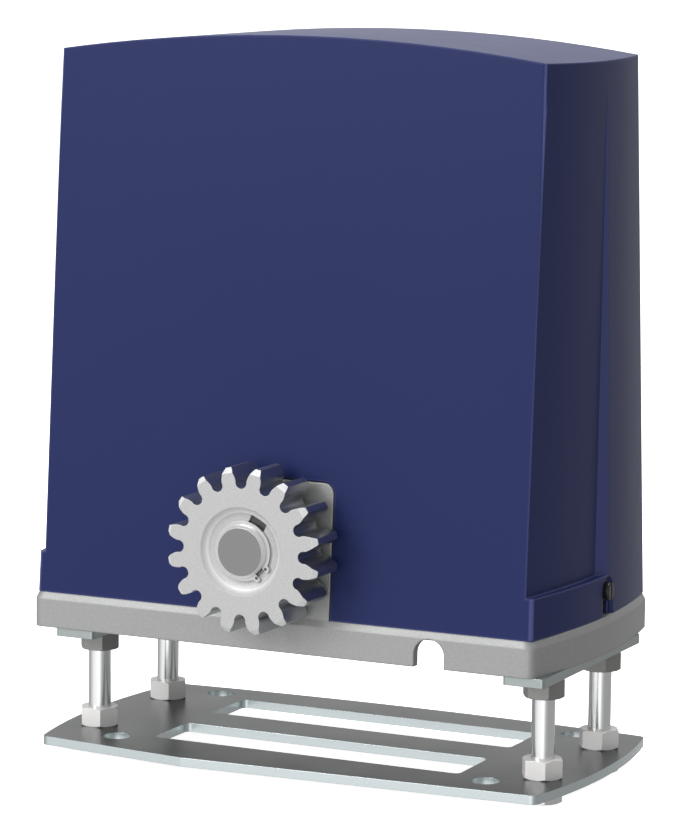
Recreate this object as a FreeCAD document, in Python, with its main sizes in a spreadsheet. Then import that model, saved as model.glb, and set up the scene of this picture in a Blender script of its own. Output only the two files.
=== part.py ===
import FreeCAD, Part
import Sketcher
import math
import os
import re

# Sliding gate motor on an adjustable foundation plate, in millimetres.
# X runs along the gate, -Y faces the gate rack and +Z is up. The origin is the centre of the
# four anchor holes on the underside of the foundation plate.

Vector = FreeCAD.Vector
os.makedirs("parts", exist_ok=True)
doc = FreeCAD.newDocument("sliding_gate_motor")

sizes = {
    # foundation plate
    "plate_thickness": 4.0,
    "plate_corner_x": 117.5,
    "plate_front_corner_y": 65.8,
    "plate_point_x": 44.0,
    "plate_point_y": 74.3,
    "plate_back_corner_y": 61.0,
    "plate_back_bow": 5.2,
    "plate_end_bow": 7.0,
    "plate_corner_radius": 4.0,
    "anchor_spacing_x": 177.0,
    "anchor_spacing_y": 101.0,
    "anchor_hole": 12.5,
    "slot_length": 147.0,
    "slot_width": 32.0,
    "slot_spacing": 56.0,
    "slot_corner_radius": 2.5,
    # foundation bolts, nuts and clamp bars
    "bolt_spacing_x": 214.0,
    "bolt_spacing_y": 65.0,
    "bolt_diameter": 10.0,
    "bolt_length": 50.0,
    "bolt_head_height": 6.4,
    "bolt_hole_gap": 0.25,
    "nut_height": 8.4,
    "nut_flats": 16.0,
    "thread_gap": 0.05,
    "height_nut_level": 38.8,
    "bar_thickness": 4.0,
    "bar_width": 18.7,
    "bar_length": 112.0,
    "bar_corner_radius": 1.5,
    # where the unit stands on the bars
    "unit_shift_x": 7.2,
    "unit_shift_y": 8.5,
    # cast base
    "base_half_width": 119.8,
    "base_half_depth": 66.5,
    "base_bow": 6.2,
    "base_corner_radius": 4.5,
    "base_height": 15.6,
    "base_wall": 4.5,
    "base_floor": 5.0,
    "rim_bevel_height": 3.0,
    "rim_bevel_inset": 1.2,
    "cable_notch_x": 72.0,
    "cable_notch_width": 14.0,
    "cable_notch_height": 12.4,
    "clamp_offset": 4.0,
    "clamp_spacing_y": 34.0,
    "clamp_screw_diameter": 6.0,
    "clamp_screw_length": 20.0,
    "clamp_head_height": 4.0,
    "clamp_head_flats": 10.0,
    "clamp_slot_length": 24.0,
    "clamp_boss_wall": 4.0,
    "clamp_washer_diameter": 12.0,
    "clamp_washer_thickness": 1.6,
    "cable_hole": 30.0,
    "cable_hole_x": 72.0,
    "cable_hole_y": 28.0,
    # gear housing of the base
    "shaft_offset": 5.4,
    "shaft_level": 97.8,
    "tongue_width": 60.2,
    "tongue_rise": 27.6,
    "tongue_corner_radius": 4.5,
    "tongue_thickness": 9.0,
    "housing_wall": 4.0,
    "wheel_room": 2.0,
    "housing_front_wall": 5.0,
    "wheel_plane": 3.0,
    "worm_room": 2.0,
    "flange_radius": 29.0,
    "flange_thickness": 6.0,
    "flange_screw": 5.0,
    "flange_screw_circle": 46.0,
    "worm_block_rise": 30.0,
    "ear_radius": 5.5,
    "ear_depth": 14.0,
    "gearcase_screw": 5.0,
    "gearcase_screw_length": 11.0,
    "gearcase_thread": 7.0,
    "bracket_boss_width": 32.0,
    "bracket_boss_depth": 12.0,
    "bracket_boss_height": 38.0,
    "rear_cover_step": 4.0,
    "rear_cover_plate": 5.0,
    "rear_cover_wall": 4.0,
    "rear_cover_room": 0.6,
    # output shaft and what it carries
    "shaft_diameter": 25.0,
    "shaft_collar": 32.0,
    "shaft_nose": 22.5,
    "shaft_proud": 0.7,
    "nose_chamfer": 1.0,
    "pinion_module": 4.0,
    "pinion_teeth": 16,
    "pinion_width": 22.0,
    "pinion_gap": 4.2,
    "pinion_dish": 38.0,
    "pinion_dish_depth": 3.0,
    "pinion_cove": 5.0,
    "pinion_tip_chamfer": 2.2,
    "key_width": 8.0,
    "key_height": 7.0,
    "key_length": 18.0,
    "key_angle": 28.0,
    "key_gap": 0.05,
    "ring_width": 2.6,
    "ring_thickness": 1.2,
    "seal_width": 7.0,
    "front_bearing_width": 15.0,
    "front_bearing_outside": 52.0,
    "rear_bearing_width": 12.0,
    "rear_bearing_outside": 47.0,
    "bearing_ring_share": 0.27,
    "fit_gap": 0.03,
    # worm and wheel
    "worm_module": 2.5,
    "wheel_teeth": 30,
    "worm_root": 14.0,
    "worm_tip": 25.0,
    "worm_pitch": 20.0,
    "worm_length": 44.0,
    "worm_backlash": 0.5,
    "wheel_width": 18.0,
    "wheel_rim_bore": 54.0,
    "wheel_hub_length": 24.0,
    "wheel_hub_diameter": 44.0,
    "wheel_key_length": 20.0,
    # motor
    "motor_shaft": 15.0,
    "worm_bearing_outside": 28.0,
    "worm_bearing_width": 8.0,
    "worm_bearing_bore": 12.0,
    "motor_bearing_outside": 35.0,
    "motor_bearing_width": 11.0,
    "end_bearing_outside": 32.0,
    "end_bearing_width": 10.0,
    "end_bearing_bore": 12.0,
    "motor_clearance": 2.0,
    "motor_diameter": 80.0,
    "motor_shell_wall": 2.5,
    "motor_length": 84.0,
    "stator_length": 52.0,
    "stator_bore": 46.0,
    "winding_length": 9.0,
    "winding_clearance": 2.0,
    "rotor_air_gap": 0.5,
    "end_shield": 9.0,
    "cooling_ribs": 24,
    "cooling_rib_height": 1.6,
    # cover
    "cover_wall": 2.8,
    "cover_gap": 0.6,
    "cover_bow": 6.0,
    "cover_corner_radius": 3.2,
    "cover_level_top": 320.0,
    "cover_top_half_width": 113.9,
    "cover_top_bow": 4.0,
    "cover_front_lean": 15.4,
    "cover_back_lean": 11.6,
    "panel_half_width": 115.0,
    "panel_bow": 5.2,
    "panel_top_half_width": 114.4,
    "panel_top_bow": 4.0,
    "skirt_height": 17.7,
    "ramp_start": -0.5,
    "ramp_top_start": 7.3,
    "ramp_slope": 1.67,
    "roof_level": 314.0,
    "roof_radius": 770.0,
    # cover screws
    "cover_screw_y": 5.0,
    "cover_screw_level": 77.4,
    "cover_screw_diameter": 5.0,
    "cover_screw_head": 8.0,
    "cover_screw_head_height": 3.0,
    "cover_screw_length": 14.0,
    "cover_recess_width": 13.0,
    "cover_recess_depth": 1.7,
    "cover_slot_width": 5.8,
    "lug_width": 9.0,
    "lug_thickness": 7.0,
    # user side: manual release
    "release_width": 78.0,
    "release_height": 50.0,
    "release_depth": 22.0,
    "release_corner_radius": 6.0,
    "release_pocket_depth": 14.0,
    "release_pocket_width": 66.0,
    "release_pocket_height": 24.0,
    "lever_gap": 0.8,
    "lever_thickness": 9.0,
    "lever_pin": 4.0,
    "lever_pin_seat": 4.5,
    "key_offset": 9.8,
    "key_room": 0.15,
    "key_barrel": 16.0,
    "release_rod": 8.0,
    # electrics
    "bracket_thickness": 1.5,
    "bracket_right": 1.0,
    "bracket_width": 98.0,
    "bracket_height": 136.0,
    "bracket_edge": 10.0,
    "bracket_leg_width": 12.0,
    "bracket_leg_offset": 75.0,
    "bracket_foot": 13.0,
    "board_width": 90.0,
    "board_height": 112.0,
    "board_thickness": 1.6,
    "board_margin": 5.0,
    "standoff_height": 5.0,
    "standoff_diameter": 6.0,
    "board_screw": 3.0,
    "capacitor_diameter": 30.0,
    "capacitor_height": 72.0,
    "capacitor_x": 72.3,
    "capacitor_y": 5.0,
    "clip_wall": 1.0,
    "transformer_width": 38.0,
    "transformer_depth": 40.0,
    "transformer_height": 48.0,
    "transformer_x": 80.5,
    "transformer_y": 25.0,
    "button_travel": 0.5,
}

sheet = doc.addObject("Spreadsheet::Sheet", "sizes")
for row, (alias, value) in enumerate(sizes.items(), 1):
    sheet.set(f"A{row}", alias)
    sheet.set(f"B{row}", str(value))
    sheet.setAlias(f"B{row}", alias)
doc.recompute()

# Levels and places that follow from the driving sizes
places = {
    "plate_top": "plate_thickness",
    "bar_bottom": "height_nut_level + nut_height",
    "base_bottom": "bar_bottom + bar_thickness",
    "rim_level": "base_bottom + base_height",
    "floor_bottom": "rim_level - base_floor",
    "unit_x": "0 - unit_shift_x",
    "unit_y": "unit_shift_y",
    "clamp_x": "bolt_spacing_x / 2 - clamp_offset",
    "shaft_x": "unit_x - shaft_offset",
    "cover_half_width": "base_half_width - rim_bevel_inset",
    "cover_half_depth": "base_half_depth - rim_bevel_inset",
    "cover_rise": "cover_level_top - rim_level",
    "tongue_y": "unit_y - cover_half_depth + cover_front_lean * (shaft_level - rim_level) / cover_rise",
    "pinion_back": "tongue_y - pinion_gap",
    "pinion_front": "pinion_back - pinion_width",
    "seal_back": "tongue_y + 0.5 + seal_width",
    "front_bearing_y": "seal_back + 0.5",
    "front_bearing_back": "front_bearing_y + front_bearing_width",
    "wheel_pitch": "worm_module * wheel_teeth",
    "wheel_tip": "wheel_pitch + 2 * worm_module",
    "cavity_radius": "wheel_tip / 2 + wheel_room",
    "housing_radius": "cavity_radius + housing_wall",
    "cavity_front": "front_bearing_back + 1.5",
    "housing_front": "cavity_front - housing_front_wall",
    "hub_front": "wheel_plane - wheel_hub_length / 2",
    "hub_back": "wheel_plane + wheel_hub_length / 2",
    "tunnel_radius": "worm_tip / 2 + worm_room",
    "tunnel_outside": "tunnel_radius + housing_wall",
    "cavity_back": "wheel_plane + tunnel_outside + rear_cover_step",
    "ear_circle": "housing_radius + 3",
    "rear_bearing_y": "cavity_back + 0.5",
    "rear_bearing_back": "rear_bearing_y + rear_bearing_width",
    "shaft_end": "rear_bearing_back - 0.5",
    "rear_cover_back": "rear_bearing_back + 3.5",
    "worm_x": "shaft_x + (wheel_pitch + worm_pitch) / 2",
    "worm_bottom": "shaft_level - worm_length / 2",
    "worm_top": "shaft_level + worm_length / 2",
    "worm_bearing_bottom": "worm_bottom - 3 - worm_bearing_width",
    "tunnel_top": "shaft_level + housing_radius + motor_clearance",
    "motor_bearing_bottom": "tunnel_top + 2",
    "motor_bottom": "motor_bearing_bottom + motor_bearing_width",
    "motor_top": "motor_bottom + motor_length",
    "stator_bottom": "motor_bottom + winding_length + 3",
    "stator_top": "stator_bottom + stator_length",
    "end_bearing_bottom": "motor_top - end_bearing_width - 1",
    "motor_radius": "motor_diameter / 2",
    "skirt_level": "rim_level + skirt_height",
    "bracket_face": "cavity_back",
    "release_back": "unit_y + cover_half_depth - 0.8",
    "release_front": "release_back - release_depth",
    "release_top": "rim_level + release_height",
    "lever_inner": "release_back - lever_thickness",
    "lever_pivot_x": "shaft_x - release_pocket_width / 2 + lever_gap + lever_thickness / 2",
    "lever_pivot_y": "release_back - lever_thickness / 2",
    "key_x": "shaft_x + release_pocket_width / 2 - key_offset",
    "bracket_bottom": "shaft_level + housing_radius + 2",
    "board_middle": "shaft_x - bracket_right - bracket_width / 2",
    "board_level": "bracket_bottom + bracket_height / 2 + 8",
    "board_plane": "bracket_face + bracket_thickness + standoff_height",
}


# Replaces a place by what it follows from and a size by its cell
def bound(expression):
    def swap(match):
        word = match.group()
        if word in places:
            return "(" + bound(places[word]) + ")"
        return "sizes." + word if word in sizes else word
    return re.sub(r"[a-z_][a-z0-9_]*", swap, str(expression))


def number(expression):
    return float(sheet.evalExpression(bound(expression)))


nodes = []


def keep(thing, name):
    thing.Label = name
    nodes.append(thing)
    return thing


# Free sketches stand on one of the main planes; their own x and y follow the plane's axes
turns = {
    "XY": FreeCAD.Rotation(),
    "XZ": FreeCAD.Rotation(Vector(1, 0, 0), 90),
    "YZ": FreeCAD.Rotation(Vector(1, 1, 1), 120),
}
normals = {"XY": "z", "XZ": "y", "YZ": "x"}
along = {
    "X": FreeCAD.Rotation(Vector(0, 1, 0), 90),
    "Y": FreeCAD.Rotation(Vector(1, 0, 0), -90),
    "Z": FreeCAD.Rotation(),
}


def bind(thing, **values):
    for name, expression in values.items():
        thing.setExpression(name.replace("__", "."), bound(expression))
    return thing


# A closed outline: each corner is (x, y) or (x, y, rise), where rise bows the edge that starts there outwards
def draw_outline(sketch, corners):
    points = [Vector(number(corner[0]), number(corner[1]), 0) for corner in corners]
    starts = []
    for index, corner in enumerate(corners):
        first = points[index]
        last = points[(index + 1) % len(points)]
        if len(corner) == 3:
            side = Vector(last.y - first.y, first.x - last.x, 0).normalize()
            middle = (first + last) * 0.5 + side * number(corner[2])
            edge = sketch.addGeometry(Part.Arc(first, middle, last), False)
        else:
            edge = sketch.addGeometry(Part.LineSegment(first, last), False)
        starts.append((edge, 1 if (sketch.getPoint(edge, 1) - first).Length < 1e-6 else 2))
    for index, (edge, start) in enumerate(starts):
        following, beginning = starts[(index + 1) % len(starts)]
        sketch.addConstraint(Sketcher.Constraint("Coincident", edge, 3 - start, following, beginning))
    for index, (edge, start) in enumerate(starts):
        corner = corners[index]
        for kind, value, expression in (("DistanceX", points[index].x, corner[0]),
                                        ("DistanceY", points[index].y, corner[1])):
            held = sketch.addConstraint(Sketcher.Constraint(kind, -1, 1, edge, start, value))
            sketch.setExpression(f"Constraints[{held}]", bound(expression))
        if len(corner) == 3:
            hold_centre(sketch, edge, corner, corners[(index + 1) % len(corners)])


# An arc between two held ends is settled by its centre, on the axis that moves most with the rise
def hold_centre(sketch, edge, corner, after):
    run = f"(({after[0]}) - ({corner[0]}))"
    climb = f"(({after[1]}) - ({corner[1]}))"
    chord = f"sqrt({run}^2 + {climb}^2)"
    step = f"(({corner[2]})^2 - {chord}^2 / 4) / (2 * ({corner[2]})) / {chord}"
    if abs(number(climb)) > abs(number(run)):
        kind, expression = "DistanceX", f"(({corner[0]}) + ({after[0]})) / 2 + {climb} * {step}"
    else:
        kind, expression = "DistanceY", f"(({corner[1]}) + ({after[1]})) / 2 - {run} * {step}"
    held = sketch.addConstraint(Sketcher.Constraint(kind, -1, 1, edge, 3, number(expression)))
    sketch.setExpression(f"Constraints[{held}]", bound(expression))


def draw_circle(sketch, x, y, radius):
    edge = sketch.addGeometry(Part.Circle(Vector(number(x), number(y), 0), Vector(0, 0, 1), number(radius)),
                              False)
    for kind, expression in (("DistanceX", x), ("DistanceY", y)):
        held = sketch.addConstraint(Sketcher.Constraint(kind, -1, 1, edge, 3, number(expression)))
        sketch.setExpression(f"Constraints[{held}]", bound(expression))
    held = sketch.addConstraint(Sketcher.Constraint("Radius", edge, number(radius)))
    sketch.setExpression(f"Constraints[{held}]", bound(radius))


def free_sketch(name, plane, level):
    sketch = doc.addObject("Sketcher::SketchObject", name)
    sketch.Placement = FreeCAD.Placement(Vector(), turns[plane])
    sketch.setExpression("Placement.Base." + normals[plane], bound(level))
    return sketch


# A straight-sided solid from a closed outline, from level to level + length along the plane's axis
def prism(name, corners, level, length, plane="XY"):
    sketch = free_sketch(name + "_outline", plane, level)
    draw_outline(sketch, corners)
    solid = doc.addObject("Part::Extrusion", name)
    solid.Base = sketch
    solid.DirMode = "Custom"
    solid.Dir = {"XY": Vector(0, 0, 1), "XZ": Vector(0, 1, 0), "YZ": Vector(1, 0, 0)}[plane]
    solid.Solid = True
    bind(solid, LengthFwd=length)
    return solid


def loft(name, low, low_level, high, high_level):
    sections = []
    for end, corners, level in (("low", low, low_level), ("high", high, high_level)):
        sketch = free_sketch(f"{name}_{end}", "XY", level)
        draw_outline(sketch, corners)
        sections.append(sketch)
    solid = doc.addObject("Part::Loft", name)
    solid.Sections = sections
    solid.Solid = True
    solid.Ruled = True
    return solid


def block(name, x, y, z, length, width, height):
    solid = doc.addObject("Part::Box", name)
    return bind(solid, Placement__Base__x=x, Placement__Base__y=y, Placement__Base__z=z,
                Length=length, Width=width, Height=height)


def rod(name, x, y, z, radius, length, axis="Z"):
    solid = doc.addObject("Part::Cylinder", name)
    solid.Placement = FreeCAD.Placement(Vector(), along[axis])
    return bind(solid, Placement__Base__x=x, Placement__Base__y=y, Placement__Base__z=z,
                Radius=radius, Height=length)


def fuse(name, *solids):
    joined = doc.addObject("Part::MultiFuse", name)
    joined.Shapes = list(solids)
    joined.Refine = True
    return joined


def cut(name, solid, *tools, refine=True):
    tool = tools[0] if len(tools) == 1 else fuse(name + "_tools", *tools)
    rest = doc.addObject("Part::Cut", name)
    rest.Base = solid
    rest.Tool = tool
    rest.Refine = refine
    return rest


def common(name, first, second):
    shared = doc.addObject("Part::Common", name)
    shared.Base = first
    shared.Tool = second
    return shared


# Rounds or bevels the edges that the test picks
def dress(kind, name, solid, size, test):
    doc.recompute()
    dressed = doc.addObject("Part::" + kind, name)
    dressed.Base = solid
    value = number(size)
    dressed.Edges = [(index, value, value) for index, edge in enumerate(solid.Shape.Edges, 1) if test(edge)]
    return dressed


# Loose solids that make one node together, such as a set of identical fasteners
def group(name, solids):
    thing = doc.addObject("Part::Feature", name)
    thing.Shape = Part.makeCompound(solids) if len(solids) > 1 else solids[0]
    return keep(thing, name)


# The four-sided outline with bowed ends that the base and the cover share, about the unit's centre
def unit_outline(half_width, front, back, bow, radius):
    turn = f"({radius}) * (1 - sqrt(0.5))"
    return [
        (f"unit_x - ({half_width}) + ({radius})", f"unit_y - ({front})"),
        (f"unit_x + ({half_width}) - ({radius})", f"unit_y - ({front})", turn),
        (f"unit_x + ({half_width})", f"unit_y - ({front}) + ({radius})", bow),
        (f"unit_x + ({half_width})", f"unit_y + ({back}) - ({radius})", turn),
        (f"unit_x + ({half_width}) - ({radius})", f"unit_y + ({back})"),
        (f"unit_x - ({half_width}) + ({radius})", f"unit_y + ({back})", turn),
        (f"unit_x - ({half_width})", f"unit_y + ({back}) - ({radius})", bow),
        (f"unit_x - ({half_width})", f"unit_y - ({front}) + ({radius})", turn),
    ]


def hexagon(flats, height):
    across = flats / math.cos(math.radians(30))
    angles = [math.radians(60 * side) for side in range(7)]
    corners = [Vector(across / 2 * math.cos(angle), across / 2 * math.sin(angle), 0) for angle in angles]
    prismatic = Part.Face(Part.makePolygon(corners)).extrude(Vector(0, 0, height))
    slope = (across - flats) / 2
    envelope = Part.makeCone(flats / 2 + slope * 0.1, across / 2 + slope * 0.1, slope * 0.58)
    body = Part.makeCylinder(across / 2 + slope * 0.1, height - 1.16 * slope, Vector(0, 0, slope * 0.58))
    top = Part.makeCone(across / 2 + slope * 0.1, flats / 2 + slope * 0.1, slope * 0.58,
                        Vector(0, 0, height - slope * 0.58))
    return prismatic.common(envelope.fuse([body, top]))


def nut(flats, height, bore):
    return hexagon(flats, height).cut(Part.makeCylinder(bore / 2, height))


def placed(shape, x, y, z):
    moved = shape.copy()
    moved.translate(Vector(x, y, z))
    return moved


def bolt_spots():
    half_x = number("bolt_spacing_x") / 2
    half_y = number("bolt_spacing_y") / 2
    return [(side_x * half_x, side_y * half_y) for side_x in (-1, 1) for side_y in (-1, 1)]


# Foundation plate: an outline with a pointed front and bowed ends, two slots and eight holes
def foundation_plate():
    plate = doc.addObject("PartDesign::Body", "foundation_plate")
    planes = {feature.Role: feature for feature in plate.Origin.OriginFeatures}

    def on_ground(name):
        sketch = plate.newObject("Sketcher::SketchObject", name)
        sketch.AttachmentSupport = [(planes["XY_Plane"], "")]
        sketch.MapMode = "FlatFace"
        return sketch

    outline = on_ground("plate_outline")
    draw_outline(outline, [
        ("0 - plate_corner_x", "0 - plate_front_corner_y"),
        ("0 - plate_point_x", "0 - plate_point_y"),
        ("plate_corner_x", "0 - plate_front_corner_y", "plate_end_bow"),
        ("plate_corner_x", "plate_back_corner_y", "plate_back_bow"),
        ("0 - plate_corner_x", "plate_back_corner_y", "plate_end_bow"),
    ])
    sheet_metal = plate.newObject("PartDesign::Pad", "plate_sheet")
    sheet_metal.Profile = outline
    bind(sheet_metal, Length="plate_thickness")

    slot = on_ground("plate_slot_outline")
    turn = "slot_corner_radius * (1 - sqrt(0.5))"
    left, right = "0 - slot_length / 2", "slot_length / 2"
    near, far = "slot_spacing / 2 - slot_width / 2", "slot_spacing / 2 + slot_width / 2"
    draw_outline(slot, [
        (left + " + slot_corner_radius", near), (right + " - slot_corner_radius", near, turn),
        (right, near + " + slot_corner_radius"), (right, far + " - slot_corner_radius", turn),
        (right + " - slot_corner_radius", far), (left + " + slot_corner_radius", far, turn),
        (left, far + " - slot_corner_radius"), (left, near + " + slot_corner_radius", turn),
    ])
    slot_cut = plate.newObject("PartDesign::Pocket", "plate_slot")
    slot_cut.Profile = slot
    slot_cut.Type = "ThroughAll"
    slot_cut.Reversed = True
    holes = on_ground("plate_hole_outlines")
    for side_x in (-1, 1):
        draw_circle(holes, f"{side_x} * anchor_spacing_x / 2", "anchor_spacing_y / 2", "anchor_hole / 2")
        draw_circle(holes, f"{side_x} * bolt_spacing_x / 2", "bolt_spacing_y / 2",
                    "bolt_diameter / 2 + bolt_hole_gap")
    hole_cut = plate.newObject("PartDesign::Pocket", "plate_holes")
    hole_cut.Profile = holes
    hole_cut.Type = "ThroughAll"
    hole_cut.Reversed = True
    doc.recompute()
    mirror = plate.newObject("PartDesign::Mirrored", "plate_other_half")
    mirror.Originals = [slot_cut, hole_cut]
    mirror.MirrorPlane = (planes["XZ_Plane"], [""])
    plate.Tip = mirror
    doc.recompute()
    corner = plate.newObject("PartDesign::Fillet", "plate_corners")
    upright = [f"Edge{index}" for index, edge in enumerate(mirror.Shape.Edges, 1)
               if is_upright(edge) and abs(edge.CenterOfMass.x) > number("plate_corner_x") - 1]
    corner.Base = (mirror, upright)
    bind(corner, Radius="plate_corner_radius")
    plate.Tip = corner
    keep(plate, "foundation_plate")


def is_upright(edge):
    ends = edge.Vertexes
    return len(ends) == 2 and math.hypot(ends[0].X - ends[1].X, ends[0].Y - ends[1].Y) < 1e-5


# Hex bolts from below, their lock nuts on the plate and the nuts that set the height
def foundation_bolts():
    shank = number("bolt_diameter") / 2
    length = number("bolt_length")
    tip = 1.0
    head = hexagon(number("nut_flats"), number("bolt_head_height"))
    bolts, lock_nuts, height_nuts = [], [], []
    for x, y in bolt_spots():
        stem = Part.makeCylinder(shank, length - tip)
        end = Part.makeCone(shank, shank - tip, tip, Vector(0, 0, length - tip))
        below = placed(head, 0, 0, -number("bolt_head_height"))
        bolts.append(placed(below.fuse([stem, end]), x, y, 0))
        bore = 2 * (shank + number("thread_gap"))
        ring = nut(number("nut_flats"), number("nut_height"), bore)
        lock_nuts.append(placed(ring, x, y, number("plate_top")))
        ring.rotate(Vector(), Vector(0, 0, 1), 5)
        height_nuts.append(placed(ring, x, y, number("height_nut_level")))
    group("foundation_bolts", bolts)
    group("plate_lock_nuts", lock_nuts)
    group("height_nuts", height_nuts)


# Flat bars that tie the front and back bolt of each side and carry the base
def clamp_bars():
    for name, side in (("clamp_bar_left", "-1"), ("clamp_bar_right", "1")):
        middle = f"{side} * bolt_spacing_x / 2"
        strip = block(name + "_strip", f"{middle} - bar_width / 2", "0 - bar_length / 2", "bar_bottom",
                      "bar_width", "bar_length", "bar_thickness")
        rounded = dress("Fillet", name + "_rounded", strip, "bar_corner_radius", is_upright)
        holes = []
        for end in ("-1", "1"):
            holes.append(rod(f"{name}_bolt_hole{end}", middle, f"{end} * bolt_spacing_y / 2", "bar_bottom",
                             "bolt_diameter / 2 + thread_gap", "bar_thickness"))
            holes.append(rod(f"{name}_clamp_hole{end}", f"{side} * clamp_x",
                             f"unit_y + {end} * clamp_spacing_y / 2", "bar_bottom",
                             "clamp_screw_diameter / 2 + thread_gap", "bar_thickness"))
        keep(cut(name, rounded, *holes), name)


def clamp_places():
    return [(f"{side_x} * clamp_x", f"unit_y + {side_y} * clamp_spacing_y / 2")
            for side_x in ("-1", "1") for side_y in ("-1", "1")]


def clamp_spots():
    return [(number(x), number(y)) for x, y in clamp_places()]


def clamp_screws():
    shank = number("clamp_screw_diameter") / 2
    seat = number("rim_level") + number("clamp_washer_thickness")
    washer = Part.makeCylinder(number("clamp_washer_diameter") / 2, number("clamp_washer_thickness"))
    washer = washer.cut(Part.makeCylinder(shank + 0.3, number("clamp_washer_thickness")))
    screw = hexagon(number("clamp_head_flats"), number("clamp_head_height"))
    screw = screw.fuse(Part.makeCylinder(shank, number("clamp_screw_length"),
                                         Vector(0, 0, -number("clamp_screw_length"))))
    group("clamp_screws", [placed(screw, x, y, seat) for x, y in clamp_spots()])
    group("clamp_washers", [placed(washer, x, y, number("rim_level")) for x, y in clamp_spots()])


foundation_plate()
foundation_bolts()
clamp_bars()
clamp_screws()


def screw_corners():
    return [("-1", "-1"), ("-1", "1"), ("1", "-1"), ("1", "1")]


def flange_hole_x(side):
    return f"worm_x + {side} * flange_screw_circle / sqrt(8)"


def flange_hole_y(side):
    return f"wheel_plane + {side} * flange_screw_circle / sqrt(8)"


# Places of the screws round the rear cover of the gear housing, as angles from straight up
gearcase_screw_angles = (-118, -62, 62, 118)


def ear_x(angle):
    return f"shaft_x + ear_circle * sin({angle} deg)"


def ear_z(angle):
    return f"shaft_level + ear_circle * cos({angle} deg)"


# The leaning outer form of the cover, which the tongue is flush with
def cover_envelope(name):
    low = unit_outline("cover_half_width", "cover_half_depth", "cover_half_depth", "cover_bow",
                       "cover_corner_radius")
    high = unit_outline("cover_top_half_width", "cover_half_depth - cover_front_lean",
                        "cover_half_depth - cover_back_lean", "cover_top_bow", "cover_corner_radius / 3")
    return loft(name, low, "rim_level", high, "cover_level_top")


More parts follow.
